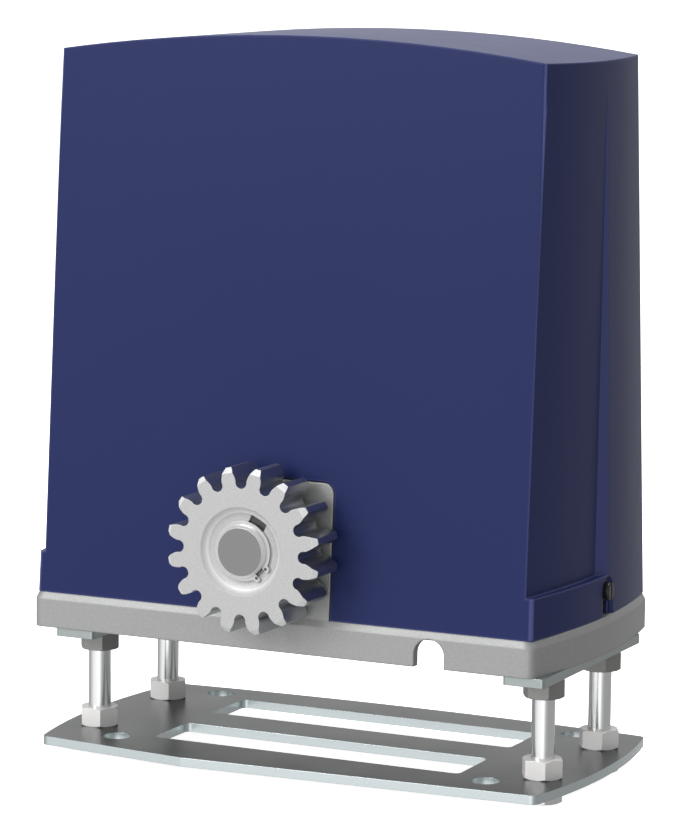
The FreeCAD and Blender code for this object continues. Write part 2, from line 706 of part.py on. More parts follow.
# Cast base: a shallow inverted tray with a bevelled rim, the gear housing and the tongue
def base_casting():
    wall = unit_outline("base_half_width", "base_half_depth", "base_half_depth", "base_bow",
                        "base_corner_radius")
    rim = unit_outline("cover_half_width", "cover_half_depth", "cover_half_depth", "base_bow",
                       "base_corner_radius")
    inside = unit_outline("base_half_width - base_wall", "base_half_depth - base_wall",
                          "base_half_depth - base_wall", "base_bow", "base_corner_radius / 2")
    outer = prism("base_outer", wall, "base_bottom", "base_height - rim_bevel_height")
    bevel = loft("base_bevel", wall, "rim_level - rim_bevel_height", rim, "rim_level")
    hollow = prism("base_hollow", inside, "base_bottom", "base_height - base_floor")
    tray = cut("base_tray", fuse("base_block", outer, bevel), hollow)

    # locating lip inside the cover's skirt
    inset = "(cover_wall + cover_gap)"
    lip_outer = unit_outline(f"panel_half_width - {inset}", f"cover_half_depth - {inset}",
                             f"cover_half_depth - {inset}", "panel_bow", "cover_corner_radius - 2")
    lip_inner = unit_outline(f"panel_half_width - {inset} - 2.5", f"cover_half_depth - {inset} - 2.5",
                             f"cover_half_depth - {inset} - 2.5", "panel_bow", "cover_corner_radius - 3")
    lip = cut("base_lip", prism("lip_outer", lip_outer, "rim_level", "4"),
              prism("lip_inner", lip_inner, "rim_level", "4"))

    added = [tray, lip]
    removed = []
    for side in ("-1", "1"):
        added.append(block("clamp_boss" + side,
                           f"{side} * clamp_x - clamp_screw_diameter / 2 - clamp_boss_wall",
                           "unit_y - clamp_spacing_y / 2 - clamp_slot_length / 2 - clamp_boss_wall",
                           "base_bottom", "clamp_screw_diameter + 2 * clamp_boss_wall",
                           "clamp_spacing_y + clamp_slot_length + 2 * clamp_boss_wall",
                           "base_height - base_floor"))
        for end in ("-1", "1"):
            middle = f"unit_y + {end} * clamp_spacing_y / 2"
            half = "(clamp_screw_diameter / 2 + 0.5)"
            turned = "clamp_slot_length / 2 - clamp_screw_diameter / 2"
            removed.append(prism(f"clamp_slot{side}{end}", [
                (f"{side} * clamp_x + {half}", f"{middle} - {turned}"),
                (f"{side} * clamp_x + {half}", f"{middle} + {turned}", half),
                (f"{side} * clamp_x - {half}", f"{middle} + {turned}"),
                (f"{side} * clamp_x - {half}", f"{middle} - {turned}", half),
            ], "base_bottom", "base_height"))

    # room in the lip for the clamp washers and for the release housing
    for number_of, (x, y) in enumerate(clamp_places()):
        removed.append(rod(f"washer_room{number_of}", x, y, "rim_level", "clamp_washer_diameter / 2 + 0.6",
                           "5"))
    removed.append(block("release_room", "shaft_x - release_width / 2 - cover_gap", "release_front - 0.5",
                         "rim_level", "release_width + 2 * cover_gap", "release_depth + 5", "5"))

    # lugs for the cover screws, inside the skirt
    for side in ("-1", "1"):
        reach = "cover_half_width + cover_bow - cover_wall - cover_gap - 0.4"
        near = f"unit_x + {side} * ({reach})" + (" - lug_thickness" if side == "1" else "")
        added.append(block("cover_lug" + side, near, "unit_y + cover_screw_y - lug_width / 2", "rim_level",
                           "lug_thickness", "lug_width", "skirt_height - cover_wall - cover_gap"))
        start = f"unit_x + {side} * ({reach})" + (" - cover_screw_length" if side == "1" else "")
        removed.append(rod("lug_hole" + side, start, "unit_y + cover_screw_y", "cover_screw_level",
                           "cover_screw_diameter / 2 + thread_gap", "cover_screw_length", "X"))

    # front tongue, front bearing boss and gear housing
    half = "tongue_width / 2"
    top = "shaft_level + tongue_rise"
    turn = "tongue_corner_radius * (1 - sqrt(0.5))"
    upright = prism("tongue_outline_block", [
        (f"shaft_x - {half}", "rim_level - 1"),
        (f"shaft_x + {half}", "rim_level - 1"),
        (f"shaft_x + {half}", f"{top} - tongue_corner_radius", turn),
        (f"shaft_x + {half} - tongue_corner_radius", top),
        (f"shaft_x - {half} + tongue_corner_radius", top, turn),
        (f"shaft_x - {half}", f"{top} - tongue_corner_radius"),
    ], "unit_y - cover_half_depth - 1", "tongue_thickness + cover_front_lean / 3", "XZ")
    added.append(common("tongue", upright, cover_envelope("tongue_envelope")))
    boss = "front_bearing_outside / 2 + housing_wall"
    added.append(rod("bearing_boss", "shaft_x", "tongue_y + cover_wall + 2.5", "shaft_level", boss,
                     "cavity_front - tongue_y - cover_wall - 2.5", "Y"))
    added.append(rod("housing", "shaft_x", "housing_front", "shaft_level", "housing_radius",
                     "cavity_back - housing_front", "Y"))
    added.append(block("housing_foot", "shaft_x - housing_radius", "housing_front", "floor_bottom",
                       "2 * housing_radius", "cavity_back - housing_front", "shaft_level - floor_bottom"))
    added.append(block("worm_block", "shaft_x", "wheel_plane - tunnel_outside", "floor_bottom",
                       "worm_x - shaft_x", "2 * tunnel_outside",
                       "shaft_level + worm_block_rise - floor_bottom"))
    added.append(rod("motor_seat", "worm_x", "wheel_plane", "tunnel_top - flange_thickness", "flange_radius",
                     "flange_thickness"))
    for side_x, side_y in screw_corners():
        removed.append(rod(f"flange_hole{side_x}{side_y}", flange_hole_x(side_x), flange_hole_y(side_y),
                           "tunnel_top - flange_thickness - 1", "flange_screw / 2 + 0.2",
                           "flange_thickness + 2"))
    added.append(rod("worm_tunnel", "worm_x", "wheel_plane", "floor_bottom", "tunnel_outside",
                     "tunnel_top - floor_bottom"))
    added.append(block("bracket_boss", "shaft_x - bracket_boss_width", "bracket_face - bracket_boss_depth",
                       "shaft_level + cavity_radius + 1", "bracket_boss_width", "bracket_boss_depth",
                       "bracket_boss_height"))
    for level in (8, 18):
        removed.append(rod(f"bracket_boss_hole{level}", "shaft_x - bracket_right - bracket_boss_width / 2",
                           "bracket_face - 8.5", f"bracket_bottom + {level}",
                           "gearcase_screw / 2 + thread_gap", "9",
                           "Y"))
    removed.append(rod("bracket_floor_hole", "unit_x - bracket_leg_offset + bracket_leg_width / 2",
                       "bracket_face + bracket_foot - 5", "rim_level - 4", "board_screw / 2 + thread_gap",
                       "5"))
    for angle in gearcase_screw_angles:
        added.append(rod(f"gearcase_ear{angle}", ear_x(angle), "cavity_back - ear_depth", ear_z(angle),
                         "ear_radius",
                         "ear_depth", "Y"))
        removed.append(rod(f"gearcase_ear_hole{angle}", ear_x(angle), "cavity_back - gearcase_thread",
                           ear_z(angle),
                           "gearcase_screw / 2 + thread_gap", "gearcase_thread + 1", "Y"))
    removed.append(rod("wheel_cavity", "shaft_x", "cavity_front", "shaft_level", "cavity_radius",
                       "cavity_back - cavity_front + 1", "Y"))
    removed.append(rod("rear_cover_room", "shaft_x", "cavity_back", "shaft_level",
                       "housing_radius + rear_cover_room", "rear_cover_back - cavity_back + 1", "Y"))
    removed.append(rod("seal_bore", "shaft_x", "tongue_y - 5", "shaft_level",
                       "rear_bearing_outside / 2 + fit_gap",
                       "front_bearing_y - tongue_y + 5", "Y"))
    removed.append(rod("bearing_bore", "shaft_x", "front_bearing_y", "shaft_level",
                       "front_bearing_outside / 2 + fit_gap", "cavity_front - front_bearing_y", "Y"))
    removed.append(rod("worm_bore", "worm_x", "wheel_plane", "worm_bearing_bottom + worm_bearing_width",
                       "tunnel_radius", "tunnel_top - worm_bearing_bottom - worm_bearing_width"))
    removed.append(rod("worm_bearing_bore", "worm_x", "wheel_plane", "worm_bearing_bottom",
                       "worm_bearing_outside / 2 + fit_gap", "worm_bearing_width"))

    # cable notch in the front wall and cable hole in the floor
    edge = "cable_notch_width / 2"
    foot = "base_bottom + cable_notch_height - cable_notch_width / 2"
    removed.append(prism("cable_notch", [
        (f"unit_x + cable_notch_x - {edge}", "base_bottom - 1"),
        (f"unit_x + cable_notch_x + {edge}", "base_bottom - 1"),
        (f"unit_x + cable_notch_x + {edge}", foot, edge),
        (f"unit_x + cable_notch_x - {edge}", foot),
    ], "unit_y - base_half_depth - 1", "base_wall + 3", "XZ"))
    removed.append(rod("cable_hole", "unit_x + cable_hole_x", "unit_y + cable_hole_y", "floor_bottom - 1",
                       "cable_hole / 2", "base_floor + 2"))
    keep(cut("base_casting", fuse("base_solid", *added), *removed), "base_casting")


base_casting()


# A turned piece: its profile is (along, radius) pairs and turns about an axis through the given place
def turned(name, profile, axis, x, y, z):
    sketch = free_sketch(name + "_profile", "XY" if axis == "Y" else "XZ", z if axis == "Y" else y)
    draw_outline(sketch, [(f"{x} + {radius}", place) for place, radius in profile])
    solid = doc.addObject("Part::Revolution", name)
    solid.Source = sketch
    solid.Solid = True
    solid.Axis = Vector(0, 1, 0) if axis == "Y" else Vector(0, 0, 1)
    return bind(solid, Base__x=x, Base__y=y, Base__z=z)


def ring(name, start, width, inner, outer, axis, x, y, z):
    end = f"{start} + {width}"
    return turned(name, [(start, inner), (start, outer), (end, outer), (end, inner)], axis, x, y, z)


# A shielded ball bearing: two rings with the shield set back between them
def bearing(name, start, width, bore, outside, axis, x, y, z):
    inner = f"{bore} / 2 + fit_gap"
    outer = f"{outside} / 2"
    land = f"({outer} - {inner}) * bearing_ring_share"
    end = f"{start} + {width}"
    profile = [
        (start, inner), (start, f"{inner} + {land}"), (f"{start} + 0.8", f"{inner} + {land}"),
        (f"{start} + 0.8", f"{outer} - {land}"), (start, f"{outer} - {land}"), (start, outer),
        (end, outer), (end, f"{outer} - {land}"), (f"{end} - 0.8", f"{outer} - {land}"),
        (f"{end} - 0.8", f"{inner} + {land}"), (end, f"{inner} + {land}"), (end, inner),
    ]
    return keep(turned(name, profile, axis, x, y, z), name)


shaft_axis = ("Y", "shaft_x", "0", "shaft_level")
worm_axis = ("Z", "worm_x", "wheel_plane", "0")


def gearcase():
    bearing("front_bearing", "front_bearing_y", "front_bearing_width", "shaft_diameter",
            "front_bearing_outside", *shaft_axis)
    bearing("rear_bearing", "rear_bearing_y", "rear_bearing_width", "shaft_diameter",
            "rear_bearing_outside", *shaft_axis)
    seal_start = "tongue_y + 0.5"
    keep(turned("shaft_seal", [
        (seal_start, "shaft_diameter / 2 + fit_gap"), (seal_start, "rear_bearing_outside / 2"),
        ("seal_back", "rear_bearing_outside / 2"), ("seal_back", "rear_bearing_outside / 2 - 1.5"),
        (f"{seal_start} + 1.5", "rear_bearing_outside / 2 - 1.5"),
        (f"{seal_start} + 1.5", "shaft_diameter / 2 + 3"),
        ("seal_back - 1", "shaft_diameter / 2 + 2"), ("seal_back - 1", "shaft_diameter / 2 + fit_gap"),
    ], *shaft_axis), "shaft_seal")

    # rear cover of the housing, with the bearing pocket and the bore of the release rod
    pocket = "rear_bearing_outside / 2 + fit_gap"
    shell = turned("rear_cover_turned", [
        ("cavity_back", pocket), ("cavity_back", "housing_radius"),
        ("cavity_back + rear_cover_plate", "housing_radius"),
        ("cavity_back + rear_cover_plate", "rear_bearing_outside / 2 + rear_cover_wall"),
        ("rear_cover_back", "rear_bearing_outside / 2 + rear_cover_wall"),
        ("rear_cover_back", "release_rod / 2 + 0.1"), ("rear_bearing_back", "release_rod / 2 + 0.1"),
        ("rear_bearing_back", pocket),
    ], *shaft_axis)
    ribs = []
    for step in range(6):
        rib = block(f"rear_cover_rib{step}", "0 - 2", "cavity_back + rear_cover_plate - 0.5",
                    "rear_bearing_outside / 2 + 1", "4", "rear_bearing_width - 5", "rear_cover_wall + 12")
        turn = doc.addObject("Part::Feature", f"rear_cover_rib_turned{step}")
        doc.recompute()
        shape = rib.Shape.copy()
        shape.rotate(Vector(), Vector(0, 1, 0), 60 * step + 30)
        shape.translate(Vector(number("shaft_x"), 0, number("shaft_level")))
        turn.Shape = shape
        ribs.append(turn)
    ears = [rod(f"cover_ear{angle}", ear_x(angle), "cavity_back", ear_z(angle), "ear_radius",
                "rear_cover_plate", "Y")
            for angle in gearcase_screw_angles]
    holes = [rod(f"cover_ear_hole{angle}", ear_x(angle), "cavity_back", ear_z(angle),
                 "gearcase_screw / 2 + thread_gap", "rear_cover_plate", "Y")
             for angle in gearcase_screw_angles]
    inside = rod("rear_cover_inside", "shaft_x", "cavity_back - 1", "shaft_level", pocket,
                 "rear_bearing_width + 1",
                 "Y")
    keep(cut("gearcase_cover", fuse("rear_cover_body", shell, *ribs, *ears), *holes, inside),
         "gearcase_cover")
    screws = []
    for angle in gearcase_screw_angles:
        screw = cap_screw(number("gearcase_screw"), number("gearcase_screw_length"))
        screw.rotate(Vector(), Vector(1, 0, 0), -90)
        screws.append(placed(screw, number(ear_x(angle)), number("cavity_back + rear_cover_plate"),
                             number(ear_z(angle))))
    group("gearcase_screws", screws)


# Socket head screw: its head stands on the ground plane and its stem points down
def cap_screw(diameter, length):
    head = Part.makeCylinder(diameter * 0.85, diameter)
    socket = Part.makeCylinder(diameter * 0.45, diameter * 0.5, Vector(0, 0, diameter * 0.5))
    return head.cut(socket).fuse(Part.makeCylinder(diameter / 2, length, Vector(0, 0, -length)))


# Tooth outline with involute flanks at 20 degrees and one round valley between two teeth
def gear_outline(module, teeth, root, backlash):
    pitch = module * teeth / 2
    base = pitch * math.cos(math.radians(20))
    tip = pitch + module
    involute_20 = math.tan(math.radians(20)) - math.radians(20)
    half_base = math.pi / (2 * teeth) + involute_20 - backlash / (2 * pitch)
    start = max(base, root + 0.35 * module)

    def flank(radius):
        pressure = math.acos(min(1.0, base / radius))
        return half_base - (math.tan(pressure) - pressure)

    def polar(radius, angle):
        return Vector(radius * math.sin(angle), 0, radius * math.cos(angle))

    edges = []
    steps = 5
    radii = [start + (tip - start) * step / steps for step in range(steps + 1)]
    for tooth in range(teeth):
        middle = 2 * math.pi * (tooth + 0.5) / teeth
        rising = [polar(radius, middle - flank(radius)) for radius in radii]
        falling = [polar(radius, middle + flank(radius)) for radius in reversed(radii)]
        for run in (rising, falling):
            curve = Part.BSplineCurve()
            curve.interpolate(run)
            edges.append(curve.toShape())
            if run is rising:
                edges.append(Part.Arc(rising[-1], polar(tip, middle), falling[0]).toShape())
        valley = middle + math.pi / teeth
        following = polar(start, middle + 2 * math.pi / teeth - flank(start))
        edges.append(Part.Arc(falling[-1], polar(root, valley), following).toShape())
    return Part.Wire(edges)


# Pinion: involute teeth, bevelled tips, a face with a round cove and a keyway that is open to the front
def pinion():
    module, teeth = number("pinion_module"), int(number("pinion_teeth"))
    width, front = number("pinion_width"), number("pinion_front")
    tip = module * (teeth + 2) / 2
    bevel = number("pinion_tip_chamfer")
    outline = gear_outline(module, teeth, module * (teeth - 2.5) / 2, 0.1)
    blank = Part.Face(outline).extrude(Vector(0, width, 0))
    along_y = Vector(0, 1, 0)
    envelope = Part.makeCone(tip - bevel, tip, bevel, Vector(), along_y)
    envelope = envelope.fuse([Part.makeCylinder(tip, width - bevel - 1, Vector(0, bevel, 0), along_y),
                              Part.makeCone(tip, tip - 1, 1, Vector(0, width - 1, 0), along_y)])
    gear = blank.common(envelope)
    dish, depth, run = (number(name) for name in ("pinion_dish / 2", "pinion_dish_depth", "pinion_cove"))
    sweep = (run ** 2 + depth ** 2) / (2 * depth)
    lean = math.asin(run / sweep) / 2
    middle = Vector(dish - run + sweep * math.sin(lean), depth - sweep * (1 - math.cos(lean)), 0)
    seat, edge = Vector(dish - run, depth, 0), Vector(dish, 0, 0)
    corners = [edge, Vector(dish, -1, 0), Vector(0, -1, 0), Vector(0, depth, 0), seat]
    hollow = Part.Wire([Part.makePolygon(corners), Part.Arc(seat, middle, edge).toShape()])
    gear = gear.cut(Part.Face(hollow).revolve(Vector(), along_y, 360))
    gear = gear.cut(Part.makeCylinder(number("shaft_diameter") / 2 + number("fit_gap"), width + 2,
                                      Vector(0, -1, 0), along_y))
    keyway = Part.makeBox(number("key_width") + 2 * number("key_gap"), width + 2, key_top() + 0.2,
                          Vector(-number("key_width") / 2 - number("key_gap"), -1, 0))
    keyway.rotate(Vector(), along_y, number("key_angle"))
    gear = gear.cut(keyway)
    group("pinion", [placed(gear.removeSplitter(), number("shaft_x"), front, number("shaft_level"))])


def key_top():
    return number("shaft_diameter") / 2 + number("key_height") * 0.45


def shaft_key(name, start, length, angle):
    height = number("key_height")
    key = Part.makeBox(number("key_width"), length, height,
                       Vector(-number("key_width") / 2, 0, key_top() - height))
    key.rotate(Vector(), Vector(0, 1, 0), angle)
    group(name, [placed(key, number("shaft_x"), start, number("shaft_level"))])


# Output shaft: nose with a ring groove, pinion seat, collar and wheel seat, with two keyways
def output_shaft():
    nose, seat, collar = "shaft_nose / 2", "shaft_diameter / 2", "shaft_collar / 2"
    face = "pinion_front + pinion_dish_depth"
    turned_shaft = turned("output_shaft_turned", [
        ("pinion_front - shaft_proud", "0"),
        ("pinion_front - shaft_proud", f"{nose} - nose_chamfer"),
        ("pinion_front - shaft_proud + nose_chamfer", nose),
        (f"{face} - ring_thickness - 0.1", nose), (f"{face} - ring_thickness - 0.1", f"{nose} - 0.9"),
        (face, f"{nose} - 0.9"), (face, seat),
        ("front_bearing_back", seat), ("front_bearing_back", collar),
        ("hub_front", collar), ("hub_front", seat),
        ("shaft_end", seat), ("shaft_end", "release_rod / 2 + 0.3"),
        ("hub_back", "release_rod / 2 + 0.3"), ("hub_back", "0"),
    ], *shaft_axis)
    doc.recompute()
    grooves = []
    for start, length, angle in ((number("pinion_back - key_length"), number("key_length"),
                                  number("key_angle")),
                                 (number("hub_front + 2"), number("wheel_key_length"), 0)):
        groove = Part.makeBox(number("key_width") + 2 * number("key_gap"), length + 0.1, 20,
                              Vector(-number("key_width") / 2 - number("key_gap"), 0,
                                     key_top() - number("key_height") - 0.05))
        groove.rotate(Vector(), Vector(0, 1, 0), angle)
        tool = doc.addObject("Part::Feature", f"shaft_keyway{len(grooves)}")
        tool.Shape = placed(groove, number("shaft_x"), start, number("shaft_level"))
        grooves.append(tool)
    keep(cut("output_shaft", turned_shaft, *grooves), "output_shaft")
    shaft_key("pinion_key", number("pinion_back") - number("key_length"), number("key_length"),
              number("key_angle"))
    shaft_key("wheel_key", number("hub_front") + 2, number("wheel_key_length"), 0)
    keep(ring("wheel_spacer", "hub_back", "rear_bearing_y - hub_back", "shaft_diameter / 2 + fit_gap",
              "shaft_collar / 2", *shaft_axis), "wheel_spacer")


# Retaining ring with two lugs, open at the lower right
def retaining_ring():
    inner, width = number("shaft_nose") / 2 - 0.87, number("ring_width")
    thick = number("ring_thickness")
    along_y = Vector(0, 1, 0)
    band = Part.makeCylinder(inner + width, thick, Vector(), along_y)
    lugs = []
    for angle in (122, 148):
        lug = Part.makeCylinder(1.7, thick, Vector(0, 0, inner + width), along_y)
        hole = Part.makeCylinder(0.75, thick, Vector(0, 0, inner + width), along_y)
        lug = lug.cut(hole)
        lug.rotate(Vector(), along_y, angle)
        hole.rotate(Vector(), along_y, angle)
        lugs.append((lug, hole))
    band = band.fuse([lug for lug, hole in lugs]).cut(Part.makeCylinder(inner, thick, Vector(), along_y))
    opening = Part.makeBox(4, thick, 30, Vector(-2, 0, 0))
    opening.rotate(Vector(), along_y, 135)
    band = band.cut(opening).cut(Part.makeCompound([hole for lug, hole in lugs]))
    place = number("pinion_front + pinion_dish_depth") - thick - 0.05
    group("retaining_ring", [placed(band.removeSplitter(), number("shaft_x"), place, number("shaft_level"))])


# Worm wheel: a bronze rim with slanted teeth on a cast hub
def worm_wheel():
    module, teeth = number("worm_module"), int(number("wheel_teeth"))
    width = number("wheel_width")
    lead_angle = math.atan(module / number("worm_pitch"))
    half_twist = math.degrees(width / 2 * math.tan(lead_angle) / (module * teeth / 2))
    sections = []
    for end in (-1, 1):
        outline = gear_outline(module, teeth, module * (teeth - 2.4) / 2, number("worm_backlash"))
        outline.rotate(Vector(), Vector(0, 1, 0), end * half_twist)
        outline.translate(Vector(0, end * width / 2, 0))
        sections.append(outline)
    rim = Part.makeLoft(sections, True, True)
    bore = number("wheel_rim_bore") / 2
    rim = rim.cut(Part.makeCylinder(bore, width + 2, Vector(0, -width / 2 - 1, 0), Vector(0, 1, 0)))
    group("worm_wheel_rim", [placed(rim, number("shaft_x"), number("wheel_plane"), number("shaft_level"))])

    inner, outer = "shaft_diameter / 2 + fit_gap", "wheel_rim_bore / 2 - fit_gap"
    hub, web = "wheel_hub_diameter / 2", "wheel_plane - wheel_width / 2 + 2"
    turned_hub = turned("wheel_hub_turned", [
        ("hub_front", inner), ("hub_front", hub), (web, hub), (web, outer),
        ("wheel_plane + wheel_width / 2 - 2", outer), ("wheel_plane + wheel_width / 2 - 2", hub),
        ("hub_back", hub), ("hub_back", inner),
    ], *shaft_axis)
    slot = block("wheel_hub_keyway", "shaft_x - key_width / 2 - key_gap", "hub_front - 1", "shaft_level",
                 "key_width + 2 * key_gap", "wheel_hub_length + 2",
                 "shaft_diameter / 2 + key_height * 0.45 + 0.2")
    keep(cut("worm_wheel_hub", turned_hub, slot), "worm_wheel_hub")


# Worm shaft: one thread of the worm, two bearing seats and the rotor seat
def worm_shaft():
    lead = math.pi * number("worm_module")
    root, tip, pitch = number("worm_root") / 2, number("worm_tip") / 2, number("worm_pitch") / 2
    turns_each_side = math.floor(number("worm_length") / 2 / lead - 0.25)
    slope = math.tan(math.radians(20))
    half = lead / 4 - number("worm_backlash") / 4

    def width_at(radius):
        return half - (radius - pitch) * slope

    sunk = root - 0.4
    profile = Part.makePolygon([Vector(sunk, 0, -width_at(sunk)), Vector(tip, 0, -width_at(tip)),
                                Vector(tip, 0, width_at(tip)), Vector(sunk, 0, width_at(sunk)),
                                Vector(sunk, 0, -width_at(sunk))])
    helix = Part.makeHelix(lead, 2 * turns_each_side * lead, sunk)
    thread = Part.Wire(helix.Edges).makePipeShell([profile], True, True)
    thread.translate(Vector(number("worm_x"), number("wheel_plane"),
                            number("shaft_level") - turns_each_side * lead))
    stepped = turned("worm_shaft_turned", [
        ("worm_bearing_bottom + 0.5", "0"), ("worm_bearing_bottom + 0.5", "worm_bearing_bore / 2"),
        ("worm_bearing_bottom + worm_bearing_width", "worm_bearing_bore / 2"),
        ("worm_bearing_bottom + worm_bearing_width", "worm_root / 2"),
        ("worm_top", "worm_root / 2"), ("worm_top", "motor_shaft / 2 + 1.5"),
        ("motor_bearing_bottom", "motor_shaft / 2 + 1.5"), ("motor_bearing_bottom", "motor_shaft / 2"),
        ("end_bearing_bottom - 1", "motor_shaft / 2"), ("end_bearing_bottom - 1", "end_bearing_bore / 2"),
        ("end_bearing_bottom + end_bearing_width", "end_bearing_bore / 2"),
        ("end_bearing_bottom + end_bearing_width", "0"),
    ], *worm_axis)
    doc.recompute()
    group("worm_shaft", [stepped.Shape.fuse(thread)])


# Motor: flange, shell with cooling ribs, stator, windings, rotor and end shield
def motor():
    bearing("worm_bearing", "worm_bearing_bottom", "worm_bearing_width", "worm_bearing_bore",
            "worm_bearing_outside", *worm_axis)
    bearing("motor_bearing", "motor_bearing_bottom", "motor_bearing_width", "motor_shaft",
            "motor_bearing_outside", *worm_axis)
    bearing("end_bearing", "end_bearing_bottom", "end_bearing_width", "end_bearing_bore",
            "end_bearing_outside", *worm_axis)
    pocket = "motor_bearing_outside / 2 + fit_gap"
    flange = turned("motor_flange_turned", [
        ("tunnel_top", "motor_shaft / 2 + 2"), ("tunnel_top", "motor_radius"),
        ("motor_bottom", "motor_radius"), ("motor_bottom", pocket),
        ("motor_bearing_bottom", pocket), ("motor_bearing_bottom", "motor_shaft / 2 + 2"),
    ], *worm_axis)
    holes = [rod(f"motor_flange_hole{side_x}{side_y}", flange_hole_x(side_x), flange_hole_y(side_y),
                 "tunnel_top", "flange_screw / 2 + thread_gap", "motor_bottom - tunnel_top - 2")
             for side_x, side_y in screw_corners()]
    keep(cut("motor_flange", flange, *holes), "motor_flange")
    shell_end = "motor_top - end_shield"
    shell = ring("motor_shell_tube", "motor_bottom", f"{shell_end} - motor_bottom",
                 "motor_radius - motor_shell_wall",
                 "motor_radius", *worm_axis)
    ribs = []
    doc.recompute()
    count = int(number("cooling_ribs"))
    for step in range(count):
        rib = Part.makeBox(number("cooling_rib_height") + 0.5, 1.6,
                           number(f"{shell_end} - motor_bottom") - 4,
                           Vector(number("motor_radius") - 0.5, -0.8, number("motor_bottom") + 2))
        rib.rotate(Vector(), Vector(0, 0, 1), 360 / count * (step + 0.5))
        ribs.append(placed(rib, number("worm_x"), number("wheel_plane"), 0))
    group("motor_shell", [shell.Shape.fuse(ribs).removeSplitter()])
    keep(ring("stator_core", "stator_bottom", "stator_length", "stator_bore / 2",
              "motor_radius - motor_shell_wall", *worm_axis), "stator_core")
    windings = []
    for index, start in enumerate(("stator_bottom - winding_length", "stator_top")):
        end = f"{start} + winding_length"
        inner, outer = "stator_bore / 2 + 1", "motor_radius - motor_shell_wall - winding_clearance"
        windings.append(turned(f"winding{index}", [
            (start, f"{inner} + 2.5"), (f"{start} + 2.5", inner), (f"{end} - 2.5", inner),
            (end, f"{inner} + 2.5"), (end, f"{outer} - 2.5"), (f"{end} - 2.5", outer),
            (f"{start} + 2.5", outer), (start, f"{outer} - 2.5"),
        ], *worm_axis))
    doc.recompute()
    group("windings", [winding.Shape for winding in windings])
    keep(ring("rotor_core", "stator_bottom", "stator_length", "motor_shaft / 2",
              "stator_bore / 2 - rotor_air_gap", *worm_axis), "rotor_core")
    end_pocket = "end_bearing_outside / 2 + fit_gap"
    keep(turned("motor_end_shield", [
        (shell_end, "motor_radius - 8"), (shell_end, "motor_radius"), ("motor_top - 2", "motor_radius"),
        ("motor_top", "motor_radius - 4"), ("motor_top", "0"),
        ("end_bearing_bottom + end_bearing_width + 0.3", "0"),
        ("end_bearing_bottom + end_bearing_width + 0.3", end_pocket),
        ("end_bearing_bottom", end_pocket), ("end_bearing_bottom", f"{end_pocket} + 4"),
        (f"{shell_end} + 3", f"{end_pocket} + 4"), (f"{shell_end} + 3", "motor_radius - 8"),
    ], *worm_axis), "motor_end_shield")
    screws = []
    for side_x, side_y in screw_corners():
        screw = cap_screw(number("flange_screw"), number("flange_thickness") + 8)
        screw.rotate(Vector(), Vector(1, 0, 0), 180)
        screws.append(placed(screw, number(flange_hole_x(side_x)), number(flange_hole_y(side_y)),
                             number("tunnel_top - flange_thickness")))
    group("flange_screws", screws)


gearcase()
output_shaft()
pinion()
retaining_ring()
worm_wheel()
worm_shaft()
motor()


# Board bracket: a sheet metal plate on the boss of the gear housing, with one leg down to the floor
def board_bracket():
    right = "shaft_x - bracket_right"
    left = f"{right} - bracket_width"
    foot = "bracket_bottom"
    leg = "unit_x - bracket_leg_offset"
    plate = block("bracket_plate", left, "bracket_face", foot, "bracket_width", "bracket_thickness",
                  "bracket_height")
    upright = block("bracket_leg", leg, "bracket_face", "rim_level", "bracket_leg_width",
                    "bracket_thickness",
                    f"{foot} - rim_level")
    sole = block("bracket_sole", leg, "bracket_face", "rim_level", "bracket_leg_width", "bracket_foot",
                 "bracket_thickness")
    edges = [block(f"bracket_edge{side}", f"{left} + {side} * (bracket_width - bracket_thickness)",
                   "bracket_face",
                   foot, "bracket_thickness", "bracket_edge", "bracket_height") for side in (0, 1)]
    holes = [rod(f"bracket_hole{level}", f"{right} - bracket_boss_width / 2", "bracket_face",
                 f"{foot} + {level}",
                 "gearcase_screw / 2 + thread_gap", "bracket_thickness", "Y") for level in (8, 18)]
    holes += [rod(f"bracket_board_hole{side}{end}", board_x(side), "bracket_face", board_z(end),
                  "board_screw / 2 + thread_gap", "bracket_thickness", "Y") for side, end in screw_corners()]
    holes.append(rod("bracket_foot_hole", f"{leg} + bracket_leg_width / 2",
                     "bracket_face + bracket_foot - 5",
                     "rim_level", "board_screw / 2 + thread_gap", "bracket_thickness"))
    keep(cut("board_bracket", fuse("bracket_sheet", plate, upright, sole, *edges), *holes), "board_bracket")
    screws = []
    for level in (8, 18):
        screw = cap_screw(number("gearcase_screw"), 9)
        screw.rotate(Vector(), Vector(1, 0, 0), -90)
        screws.append(placed(screw, number(f"{right} - bracket_boss_width / 2"),
                             number("bracket_face + bracket_thickness"), number(f"{foot} + {level}")))
    screw = cap_screw(number("board_screw"), 5)
    screws.append(placed(screw, number(f"{leg} + bracket_leg_width / 2"),
                         number("bracket_face + bracket_foot - 5"),
                         number("rim_level + bracket_thickness")))
    group("bracket_screws", screws)


def board_x(side):
    return f"board_middle + {side} * (board_width / 2 - board_margin)"


def board_z(end):
    return f"board_level + {end} * (board_height / 2 - board_margin)"


